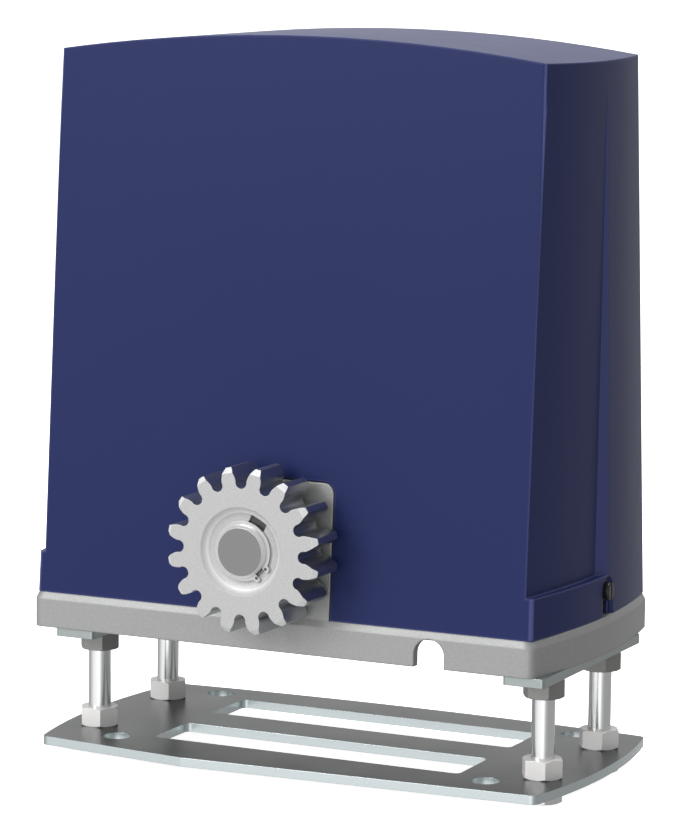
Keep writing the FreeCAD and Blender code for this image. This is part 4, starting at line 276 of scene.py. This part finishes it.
def plateAndBarFinishes():
    # painted shade: the plate's face colour is made very dark to stand for the dark underside of the base
    # reflected in it
    sheetZinc("zincPlate", {"face": (0.098, 0.101, 0.103), "pale": (0.13, 0.133, 0.136),
                            "edge": (0.60, 0.66, 0.67), "roughness": 0.26, "depth": 0.00001,
                            "edgeRadius": 0.0003}, "foundation_plate")
    sheetZinc("zincBar", {"face": (0.34, 0.36, 0.36), "pale": (0.40, 0.42, 0.42),
                          "edge": (0.38, 0.42, 0.42), "roughness": 0.3, "depth": 0.00002,
                          "edgeRadius": 0.0004}, "clamp_bar_left", "clamp_bar_right")


# Plated or pressed metal, faintly clouded
def platedFinish(name, plated, *painted):
    cloudPerMetre, cloudRoughness, finePerMetre = 90, 0.10, 1800
    metal = Finish(name)
    cloud = metal.noise(cloudPerMetre, 3)
    fine = metal.noise(finePerMetre, 2)
    metal.set(Base_Color=metal.mix(cloud, plated["colour"], plated["pale"]), Metallic=plated["metallic"],
              Roughness=plated["roughness"] + cloud * cloudRoughness,
              Normal=metal.bump(fine, plated["depth"], metal.edge(plated["edgeRadius"])))
    metal.paint(*painted)


def fastenerFinishes():
    platedFinish("zincStud", {"colour": (0.78, 0.785, 0.79), "pale": (0.86, 0.865, 0.87), "metallic": 1.0,
                              "roughness": 0.16, "depth": 0.000004, "edgeRadius": 0.0003},
                 "foundation_bolts")
    platedFinish("zincBright", {"colour": (0.80, 0.79, 0.78), "pale": (0.88, 0.87, 0.86), "metallic": 0.3,
                                "roughness": 0.34, "depth": 0.00001, "edgeRadius": 0.0004},
                 "plate_lock_nuts", "clamp_screws", "clamp_washers", "board_screws")
    # partly painted shade: the height nuts under the base are a darker zinc than the lock nuts, partly
    # their own duller plating and partly the base's shade
    platedFinish("zincDullAndPaintedShade", {"colour": (0.24, 0.24, 0.23), "pale": (0.31, 0.31, 0.30), "metallic": 0.6,
                              "roughness": 0.36, "depth": 0.00001, "edgeRadius": 0.0004}, "height_nuts")
    platedFinish("blackScrew", {"colour": (0.012, 0.012, 0.013), "pale": (0.03, 0.03, 0.032),
                                "metallic": 0.2, "roughness": 0.26, "depth": 0.00001,
                                "edgeRadius": 0.0004},
                 "cover_screws", "gearcase_screws", "flange_screws", "bracket_screws")
    platedFinish("zincFolded", {"colour": (0.50, 0.51, 0.52), "pale": (0.60, 0.61, 0.62), "metallic": 0.9,
                                "roughness": 0.28, "depth": 0.00001, "edgeRadius": 0.0003},
                 "board_bracket", "capacitor_clip")
    # painted shade: the keys are coloured near black so the keyway slot reads as shaded
    platedFinish("keySteelPaintedShade", {"colour": (0.050, 0.050, 0.052), "pale": (0.085, 0.085, 0.088),
                              "metallic": 0.5, "roughness": 0.32, "depth": 0.00001,
                              "edgeRadius": 0.0002}, "pinion_key", "wheel_key")
    platedFinish("springSteel", {"colour": (0.50, 0.50, 0.50), "pale": (0.60, 0.60, 0.60), "metallic": 0.9,
                                 "roughness": 0.26, "depth": 0.000006, "edgeRadius": 0.0002},
                 "retaining_ring")


# Turned metal: fine rings round an axis on the faces, and lines round the barrel.
# An end face keeps the low colour unless it has one of its own
def turnedFinish(name, turned, centre, axis, *painted):
    tool = {"endStops": ((0.93, 0), (0.97, 1)), "ringShare": 0.6, "lineShare": 0.4,
            "cloudPerMetre": 70, "cloudRoughness": 0.10}
    steel = Finish(name)
    endFace = steel.ramp(steel.faces(axis), *tool["endStops"])
    rings = steel.wave(steel.away(axis, centre), turned["spacing"])
    lines = steel.wave(steel.axis(axis), turned["spacing"])
    cut = rings * tool["ringShare"] + lines * tool["lineShare"]
    cloud = steel.noise(tool["cloudPerMetre"], 3)
    side = steel.mix(cloud, turned["colour"], turned["pale"])
    colour = steel.mix(endFace, side, turned.get("endFace", turned["colour"]))
    steel.set(Base_Color=colour, Metallic=turned["metallic"],
              Roughness=turned["roughness"] + cloud * tool["cloudRoughness"],
              Normal=steel.bump(cut, turned["depth"], steel.edge(turned["edgeRadius"])))
    steel.paint(*painted)


def driveFinishes():
    shaft = centreOf("output_shaft")
    worm = centreOf("worm_shaft")
    turnedFinish("turnedShaft", {"colour": (0.80, 0.80, 0.80), "pale": (0.86, 0.86, 0.86),
                                 "endFace": (0.235, 0.235, 0.235), "metallic": 0.8, "roughness": 0.3,
                                 "spacing": 0.0005, "depth": 0.000003, "edgeRadius": 0.0003},
                 shaft, "Y", "output_shaft")
    turnedFinish("turnedSpacer", {"colour": (0.5, 0.5, 0.5), "pale": (0.6, 0.6, 0.6), "metallic": 1.0,
                                  "roughness": 0.25, "spacing": 0.0004, "depth": 0.000003,
                                  "edgeRadius": 0.0003},
                 shaft, "Y", "wheel_spacer", "release_rod")
    turnedFinish("wormSteel", {"colour": (0.46, 0.46, 0.47), "pale": (0.56, 0.56, 0.57), "metallic": 1.0,
                               "roughness": 0.2, "spacing": 0.0004, "depth": 0.000002,
                               "edgeRadius": 0.0003},
                 worm, "Z", "worm_shaft")
    turnedFinish("pinSteel", {"colour": (0.5, 0.5, 0.5), "pale": (0.6, 0.6, 0.6), "metallic": 1.0,
                              "roughness": 0.25, "spacing": 0.0004, "depth": 0.000003,
                              "edgeRadius": 0.0002},
                 centreOf("lever_pin"), "Z", "lever_pin")
    turnedFinish("bronze", {"colour": (0.50, 0.30, 0.11), "pale": (0.62, 0.40, 0.17), "metallic": 1.0,
                            "roughness": 0.28, "spacing": 0.0006, "depth": 0.000004,
                            "edgeRadius": 0.0003},
                 shaft, "Y", "worm_wheel_rim")
    turnedFinish("turnedIron", {"colour": (0.13, 0.13, 0.135), "pale": (0.19, 0.19, 0.195),
                                "metallic": 0.9, "roughness": 0.42, "spacing": 0.0007,
                                "depth": 0.000006, "edgeRadius": 0.0004},
                 shaft, "Y", "worm_wheel_hub")
    turnedFinish("brassStandoff", {"colour": (0.60, 0.44, 0.17), "pale": (0.70, 0.54, 0.24),
                                   "metallic": 1.0, "roughness": 0.25, "spacing": 0.0004,
                                   "depth": 0.000003, "edgeRadius": 0.0002},
                 centreOf("board_standoffs"), "Y", "board_standoffs")


# Pinion: satin face with a fine blasted grain, painted light in a paler cove round the shaft,
# painted highlights in near white on the bevels at the tips, and flanks polished by the cutter
def pinionFinish():
    gear = {"face": (0.455, 0.455, 0.455), "fleck": (0.52, 0.52, 0.52), "bevel": (0.86, 0.87, 0.87),
            "cove": (0.70, 0.70, 0.70), "flank": (0.56, 0.57, 0.60), "fleckStops": ((0.45, 0), (0.65, 1)),
            "faceStops": ((0.25, 0), (0.6, 1)), "coveAhead": 0.9, "bevelAhead": (0.3, 0.95),
            "coveRadius": 0.0235, "tipRadius": 0.0335, "edgeRadius": 0.0004,
            "faceRoughness": 0.45, "flankRoughness": 0.26, "fleckRoughness": 0.05,
            "faceMetallic": 0.35, "flankMetallic": 0.95, "depth": 0.00001,
            "fleckPerMetre": 1700, "cutPerMetre": 2200, "cutStretch": (1, 0.03, 1)}
    steel = Finish("pinionSteel")
    radius = steel.away("Y", centreOf("output_shaft"))
    ahead = steel.faces("Y")
    leastAhead, mostAhead = gear["bevelAhead"]
    inCove = radius < gear["coveRadius"]
    coveLightShare = inCove * (ahead < gear["coveAhead"])
    bevel = (ahead > leastAhead) * (ahead < mostAhead) * (radius > gear["tipRadius"])
    face = steel.ramp(ahead + inCove, *gear["faceStops"])
    flank = 1 - face
    fleck = steel.noise(gear["fleckPerMetre"], 1)
    cut = steel.noise(gear["cutPerMetre"], 2, gear["cutStretch"])
    colour = steel.mix(steel.ramp(fleck, *gear["fleckStops"]), gear["face"], gear["fleck"])
    # painted highlight: the bevels at the tooth tips are coloured near white
    colour = steel.mix(bevel, colour, gear["bevel"])
    # painted light: the sloping cove round the shaft is coloured paler, standing in for light falling on it
    colour = steel.mix(coveLightShare, colour, gear["cove"])
    colour = steel.mix(face, gear["flank"], colour)
    metallic = gear["faceMetallic"] + flank * (gear["flankMetallic"] - gear["faceMetallic"])
    roughness = gear["flankRoughness"] + face * (gear["faceRoughness"] - gear["flankRoughness"])
    steel.set(Base_Color=colour, Metallic=metallic, Roughness=roughness + fleck * gear["fleckRoughness"],
              Normal=steel.bump(fleck * face + cut * flank, gear["depth"], steel.edge(gear["edgeRadius"])))
    steel.paint("pinion")


# Ball bearings: two bright ground rings with a darker pressed shield between them
def bearingFinish(name, axis):
    ring = {"bright": (0.60, 0.61, 0.62), "shield": (0.16, 0.16, 0.17), "shieldFrom": 0.67,
            "shieldTo": 0.83, "groundSpacing": 0.02, "roughness": 0.16, "shieldRoughness": 0.22,
            "cloudPerMetre": 120, "cloudRoughness": 0.06, "depth": 0.000003, "edgeRadius": 0.0003}
    low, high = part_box(name)
    across = 1 if axis == "Z" else 2
    outside = (high[across] - low[across]) / 2
    steel = Finish("bearing" + name.title().replace("_", ""))
    away = steel.away(axis, centreOf(name)) / outside
    inShield = (away < ring["shieldTo"]) * (away > ring["shieldFrom"])
    cloud = steel.noise(ring["cloudPerMetre"], 2)
    roughness = ring["roughness"] + inShield * ring["shieldRoughness"] + cloud * ring["cloudRoughness"]
    steel.set(Base_Color=steel.mix(inShield, ring["bright"], ring["shield"]), Metallic=1.0,
              Roughness=roughness,
              Normal=steel.bump(steel.wave(away, ring["groundSpacing"]), ring["depth"],
                                steel.edge(ring["edgeRadius"])))
    steel.paint(name)


# Bare castings of the drive: a dull skin with faint flow clouds
def castingFinish(name, cast, *painted):
    skinPerMetre, skinShare, flowPerMetre, flowShare, flowRoughness = 700, 0.3, 35, 0.7, 0.12
    metal = Finish(name)
    skin = metal.noise(skinPerMetre, 4)
    flow = metal.noise(flowPerMetre, 3)
    colour = metal.mix(flow * flowShare + skin * skinShare, cast["colour"], cast["pale"])
    metal.set(Base_Color=colour, Metallic=cast["metallic"],
              Roughness=cast["roughness"] + flow * flowRoughness,
              Normal=metal.bump(skin, cast["depth"], metal.edge(cast["edgeRadius"])))
    metal.paint(*painted)


def castingFinishes():
    castingFinish("castBare", {"colour": (0.38, 0.39, 0.40), "pale": (0.50, 0.51, 0.52), "metallic": 0.85,
                               "roughness": 0.40, "depth": 0.00006, "edgeRadius": 0.0006},
                  "gearcase_cover", "motor_flange", "motor_end_shield")
    castingFinish("motorShell", {"colour": (0.30, 0.31, 0.32), "pale": (0.36, 0.37, 0.38), "metallic": 0.6,
                                 "roughness": 0.42, "depth": 0.00003, "edgeRadius": 0.0004}, "motor_shell")


# Stacked steel sheets, one line for each
def laminationFinish(name, axis, *painted):
    stack = {"sheet": 0.001, "bright": (0.40, 0.41, 0.42), "gap": (0.10, 0.10, 0.11), "metallic": 0.85,
             "lineShare": 0.8, "cloudShare": 0.2, "cloudPerMetre": 120, "roughness": 0.38,
             "cloudRoughness": 0.1, "depth": 0.00012}
    steel = Finish(name)
    line = steel.wave(steel.axis(axis), stack["sheet"]) * 0.5 + 0.5
    cloud = steel.noise(stack["cloudPerMetre"], 3)
    share = line * stack["lineShare"] + cloud * stack["cloudShare"]
    steel.set(Base_Color=steel.mix(share, stack["gap"], stack["bright"]), Metallic=stack["metallic"],
              Roughness=stack["roughness"] + cloud * stack["cloudRoughness"],
              Normal=steel.bump(line, stack["depth"]))
    steel.paint(*painted)


# Enamelled copper wire wound side by side, with painted shade darkening the crevices between turns
def windingFinish():
    wire = {"spacing": 0.0009, "colour": (0.52, 0.17, 0.05), "creviceShade": (0.16, 0.045, 0.015),
            "wander": 0.0006, "wanderPerMetre": 150, "metallic": 0.55, "roughness": 0.28,
            "enamel": 0.5, "depth": 0.0003}
    copper = Finish("copperWire")
    wander = copper.noise(wire["wanderPerMetre"], 1) * wire["wander"]
    along = copper.away("Z", centreOf("windings")) + copper.axis("Z") + wander
    strand = copper.wave(along, wire["spacing"]) * 0.5 + 0.5
    # painted shade: darker copper in the crevices between neighbouring turns
    copper.set(Base_Color=copper.mix(strand, wire["creviceShade"], wire["colour"]), Metallic=wire["metallic"],
               Roughness=wire["roughness"], Coat_Weight=wire["enamel"],
               Normal=copper.bump(strand, wire["depth"]))
    copper.paint("windings")


# Moulded plastic and rubber, from matt to gloss
def mouldedFinish(name, moulded, *painted):
    cloudPerMetre, cloudRoughness, paler, added = 60, 0.06, 1.25, 0.004
    plastic = Finish(name)
    grain = plastic.noise(moulded["grainPerMetre"], 3)
    cloud = plastic.noise(cloudPerMetre, 2)
    low = moulded["colour"]
    high = tuple(part * paler + added for part in low)
    plastic.set(Base_Color=plastic.mix(cloud, low, high),
                Roughness=moulded["roughness"] + cloud * cloudRoughness,
                Normal=plastic.bump(grain, moulded["depth"], plastic.edge(moulded["edgeRadius"])))
    plastic.paint(*painted)


def mouldedFinishes():
    fine = {"grainPerMetre": 1500, "depth": 0.00002, "edgeRadius": 0.0003}
    coarse = {"grainPerMetre": 1100, "edgeRadius": 0.0008}
    mouldedFinish("sealRubber", {**fine, "colour": (0.018, 0.018, 0.018), "roughness": 0.6},
                  "shaft_seal", "cable_grommet")
    mouldedFinish("relayBlue", {**fine, "colour": (0.02, 0.09, 0.30), "roughness": 0.28}, "relays")
    mouldedFinish("terminalGreen", {**fine, "colour": (0.03, 0.24, 0.08), "roughness": 0.36},
                  "terminal_blocks")
    mouldedFinish("fuseGlass", {**fine, "colour": (0.70, 0.71, 0.69), "roughness": 0.1}, "fuse_holder")
    mouldedFinish("chipBlack", {**fine, "colour": (0.02, 0.02, 0.021), "roughness": 0.5}, "controller_chip")
    mouldedFinish("buttonBlack", {**fine, "colour": (0.025, 0.025, 0.026), "roughness": 0.42},
                  "program_button_1", "program_button_2", "program_button_3")
    mouldedFinish("capacitorWhite", {**fine, "colour": (0.72, 0.72, 0.69), "roughness": 0.3},
                  "run_capacitor")
    mouldedFinish("releaseBlack", {**coarse, "depth": 0.00006, "colour": (0.022, 0.022, 0.024),
                                   "roughness": 0.5}, "release_housing")
    mouldedFinish("leverGrey", {**coarse, "depth": 0.00005, "colour": (0.23, 0.24, 0.25),
                                "roughness": 0.42}, "release_lever")
    mouldedFinish("sensorBlack", {**fine, "colour": (0.02, 0.02, 0.022), "roughness": 0.4}, "limit_sensor")


# Control board: green mask with paler tracks that run across or upward, and a tight weave under it
def boardFinish():
    board = {"mask": (0.012, 0.11, 0.045), "track": (0.02, 0.19, 0.08), "trackSpacing": 0.0042,
             "trackFrom": 0.72, "turnsPerMetre": 55, "weaveSpacing": 0.0008, "weaveHeight": 0.1,
             "roughness": 0.24, "trackRoughness": 0.06, "lacquer": 0.4, "depth": 0.00004}
    green = Finish("boardMask")
    across = green.wave(green.axis("X"), board["trackSpacing"])
    upward = green.wave(green.axis("Z"), board["trackSpacing"])
    share = green.noise(board["turnsPerMetre"], 1) > 0.5
    track = (across * share + upward * (1 - share)) > board["trackFrom"]
    weft, warp = (green.wave(green.axis(axis), board["weaveSpacing"]) for axis in "XZ")
    height = track + weft * warp * board["weaveHeight"]
    green.set(Base_Color=green.mix(track, board["mask"], board["track"]),
              Roughness=board["roughness"] + track * board["trackRoughness"], Coat_Weight=board["lacquer"],
              Normal=green.bump(height, board["depth"]))
    green.paint("control_board")


# Yellow tape wound on the transformer, with the laps showing
def tapeFinish():
    yellow = {"under": (0.62, 0.45, 0.06), "over": (0.70, 0.54, 0.10), "lapsPerMetre": 45,
              "lapStretch": (0.2, 0.2, 2), "lapStops": ((0.45, 0), (0.5, 1)), "roughness": 0.3,
              "lapRoughness": 0.08, "depth": 0.00008, "edgeRadius": 0.0006}
    tape = Finish("tapeYellow")
    lap = tape.ramp(tape.noise(yellow["lapsPerMetre"], 1, yellow["lapStretch"]), *yellow["lapStops"])
    tape.set(Base_Color=tape.mix(lap, yellow["under"], yellow["over"]),
             Roughness=yellow["roughness"] + lap * yellow["lapRoughness"],
             Normal=tape.bump(lap, yellow["depth"], tape.edge(yellow["edgeRadius"])))
    tape.paint("transformer_winding")


# Plated lock barrel and pressed button frames
def platedTrimFinish():
    platedFinish("lockChrome", {"colour": (0.70, 0.70, 0.71), "pale": (0.78, 0.78, 0.79), "metallic": 1.0,
                                "roughness": 0.08, "depth": 0.000003, "edgeRadius": 0.0003}, "key_barrel")
    platedFinish("pressedSteel", {"colour": (0.52, 0.52, 0.53), "pale": (0.62, 0.62, 0.63),
                                  "metallic": 1.0, "roughness": 0.25, "depth": 0.000003,
                                  "edgeRadius": 0.0002}, "button_frames")


coverFinish()
baseFinish()
plateAndBarFinishes()
fastenerFinishes()
driveFinishes()
pinionFinish()
for bearing, bearingAxis in (("front_bearing", "Y"), ("rear_bearing", "Y"), ("worm_bearing", "Z"),
                             ("motor_bearing", "Z"), ("end_bearing", "Z")):
    bearingFinish(bearing, bearingAxis)
castingFinishes()
laminationFinish("motorStack", "Z", "stator_core", "rotor_core")
laminationFinish("transformerStack", "X", "transformer_core")
windingFinish()
mouldedFinishes()
boardFinish()
tapeFinish()
platedTrimFinish()
print("finishes made, nodes without one:", sorted(set(nodes) - painted))


# Pale seamless floor that the bolt heads stand on. Only the camera sees it, so it throws no light back
def floorSheet():
    room = {"halfSize": 12.0, "floorColour": (0.93, 0.93, 0.93), "roughness": 0.9, "glow": 0.92}
    level = cadBounds[0][2]
    half = room["halfSize"]
    mesh = bpy.data.meshes.new("studioFloor")
    corners = [(-half, -half, level), (half, -half, level), (half, half, level), (-half, half, level)]
    mesh.from_pydata(corners, [], [(0, 1, 2, 3)])
    floor = bpy.data.objects.new("studioFloor", mesh)
    bpy.context.scene.collection.objects.link(floor)
    floor.visible_glossy = False
    floor.visible_diffuse = False
    pale = Finish("paleFloor")
    pale.set(Base_Color=room["floorColour"], Roughness=room["roughness"], Specular_IOR_Level=0.0,
             Emission_Color=(1.0, 1.0, 1.0), Emission_Strength=room["glow"])
    mesh.materials.append(pale.material)


# Soft surroundings: brightest from the front, dim at the sides, and bright again low behind the part.
# The camera itself sees plain white
def studioSky():
    sky = {"white": (1, 1, 1, 1), "dim": 0.38,
           "front": {"towards": (-0.25, -0.95, 0.12), "gain": 0.85, "spread": 2.0},
           "glint": {"towards": (0.34, -0.94, 0.0), "gain": 1.3, "spread": 30.0},
           "back": {"towards": (-0.44, 0.90, 0.16), "gain": 0.5, "spread": 5.0}}
    world = bpy.data.worlds.new("studioSky")
    bpy.context.scene.world = world
    room = Shading(world)
    look = room.node("ShaderNodeTexCoord", {}, {}, "Generated")

    def glow(name):
        part = sky[name]
        along = room.node("ShaderNodeVectorMath", {"operation": "DOT_PRODUCT"},
                          {0: look, 1: Vector(part["towards"]).normalized()}, "Value")
        ahead = room.node("ShaderNodeMath", {"operation": "MAXIMUM"}, {0: along, 1: 0.0})
        return ahead ** part["spread"] * part["gain"]

    strength = glow("front") + glow("glint") + glow("back") + sky["dim"]
    dome = room.node("ShaderNodeBackground", {}, {"Color": sky["white"], "Strength": strength})
    plain = room.node("ShaderNodeBackground", {}, {"Color": sky["white"]})
    fromCamera = room.node("ShaderNodeLightPath", {}, {}, "Is Camera Ray")
    seen = room.node("ShaderNodeMixShader", {}, {0: fromCamera, 1: dome, 2: plain})
    room.show("World", seen.socket)


def softLight(name, lamp, aim):
    light = bpy.data.lights.new(name, "AREA")
    light.shape = "RECTANGLE"
    light.size, light.size_y = lamp["size"]
    light.energy = lamp["watts"]
    holder = bpy.data.objects.new(name, light)
    bpy.context.scene.collection.objects.link(holder)
    holder.location = lamp["place"]
    holder.rotation_mode = "QUATERNION"
    holder.rotation_quaternion = (Vector(aim) - Vector(lamp["place"])).to_track_quat("-Z", "Y")


def lights():
    studio = {"keyLight": {"place": (-0.9, -1.8, 1.1), "size": (1.0, 1.0), "watts": 21},
              "topLight": {"place": (-0.1, 0.5, 2.0), "size": (1.4, 1.0), "watts": 34}}
    for name, lamp in studio.items():
        softLight(name, lamp, (0.0, 0.0, 0.15))


# Camera at the photograph's viewing angle
def camera():
    view = {"azimuth": 25.97, "elevation": 7.92, "roll": 0.62, "place": (0.7013, -1.4929, 0.3786),
            "focalPixels": 3800.6, "axisColumn": 297.7, "axisRow": 410.1, "columns": 692, "rows": 832,
            "sensor": 36.0, "farthest": 50}
    azimuth, elevation, roll = (math.radians(view[name]) for name in ("azimuth", "elevation", "roll"))
    back = Vector((math.sin(azimuth) * math.cos(elevation), -math.cos(azimuth) * math.cos(elevation),
                   math.sin(elevation)))
    level = Vector((math.cos(azimuth), math.sin(azimuth), 0))
    rise = back.cross(level)
    right = level * math.cos(roll) + rise * math.sin(roll)
    up = rise * math.cos(roll) - level * math.sin(roll)
    lens = bpy.data.cameras.new("photoCamera")
    lens.sensor_width = view["sensor"]
    lens.lens = view["focalPixels"] * view["sensor"] / view["rows"]
    lens.shift_x = (view["columns"] / 2 - view["axisColumn"]) / view["rows"]
    lens.shift_y = (view["axisRow"] - view["rows"] / 2) / view["rows"]
    lens.clip_end = view["farthest"]
    holder = bpy.data.objects.new("photoCamera", lens)
    bpy.context.scene.collection.objects.link(holder)
    turn = Matrix((right, up, back)).transposed().to_4x4()
    holder.matrix_world = Matrix.Translation(view["place"]) @ turn
    bpy.context.scene.camera = holder


floorSheet()
studioSky()
lights()
camera()
bpy.context.scene.view_settings.view_transform = "Standard"
print("studio and camera set")
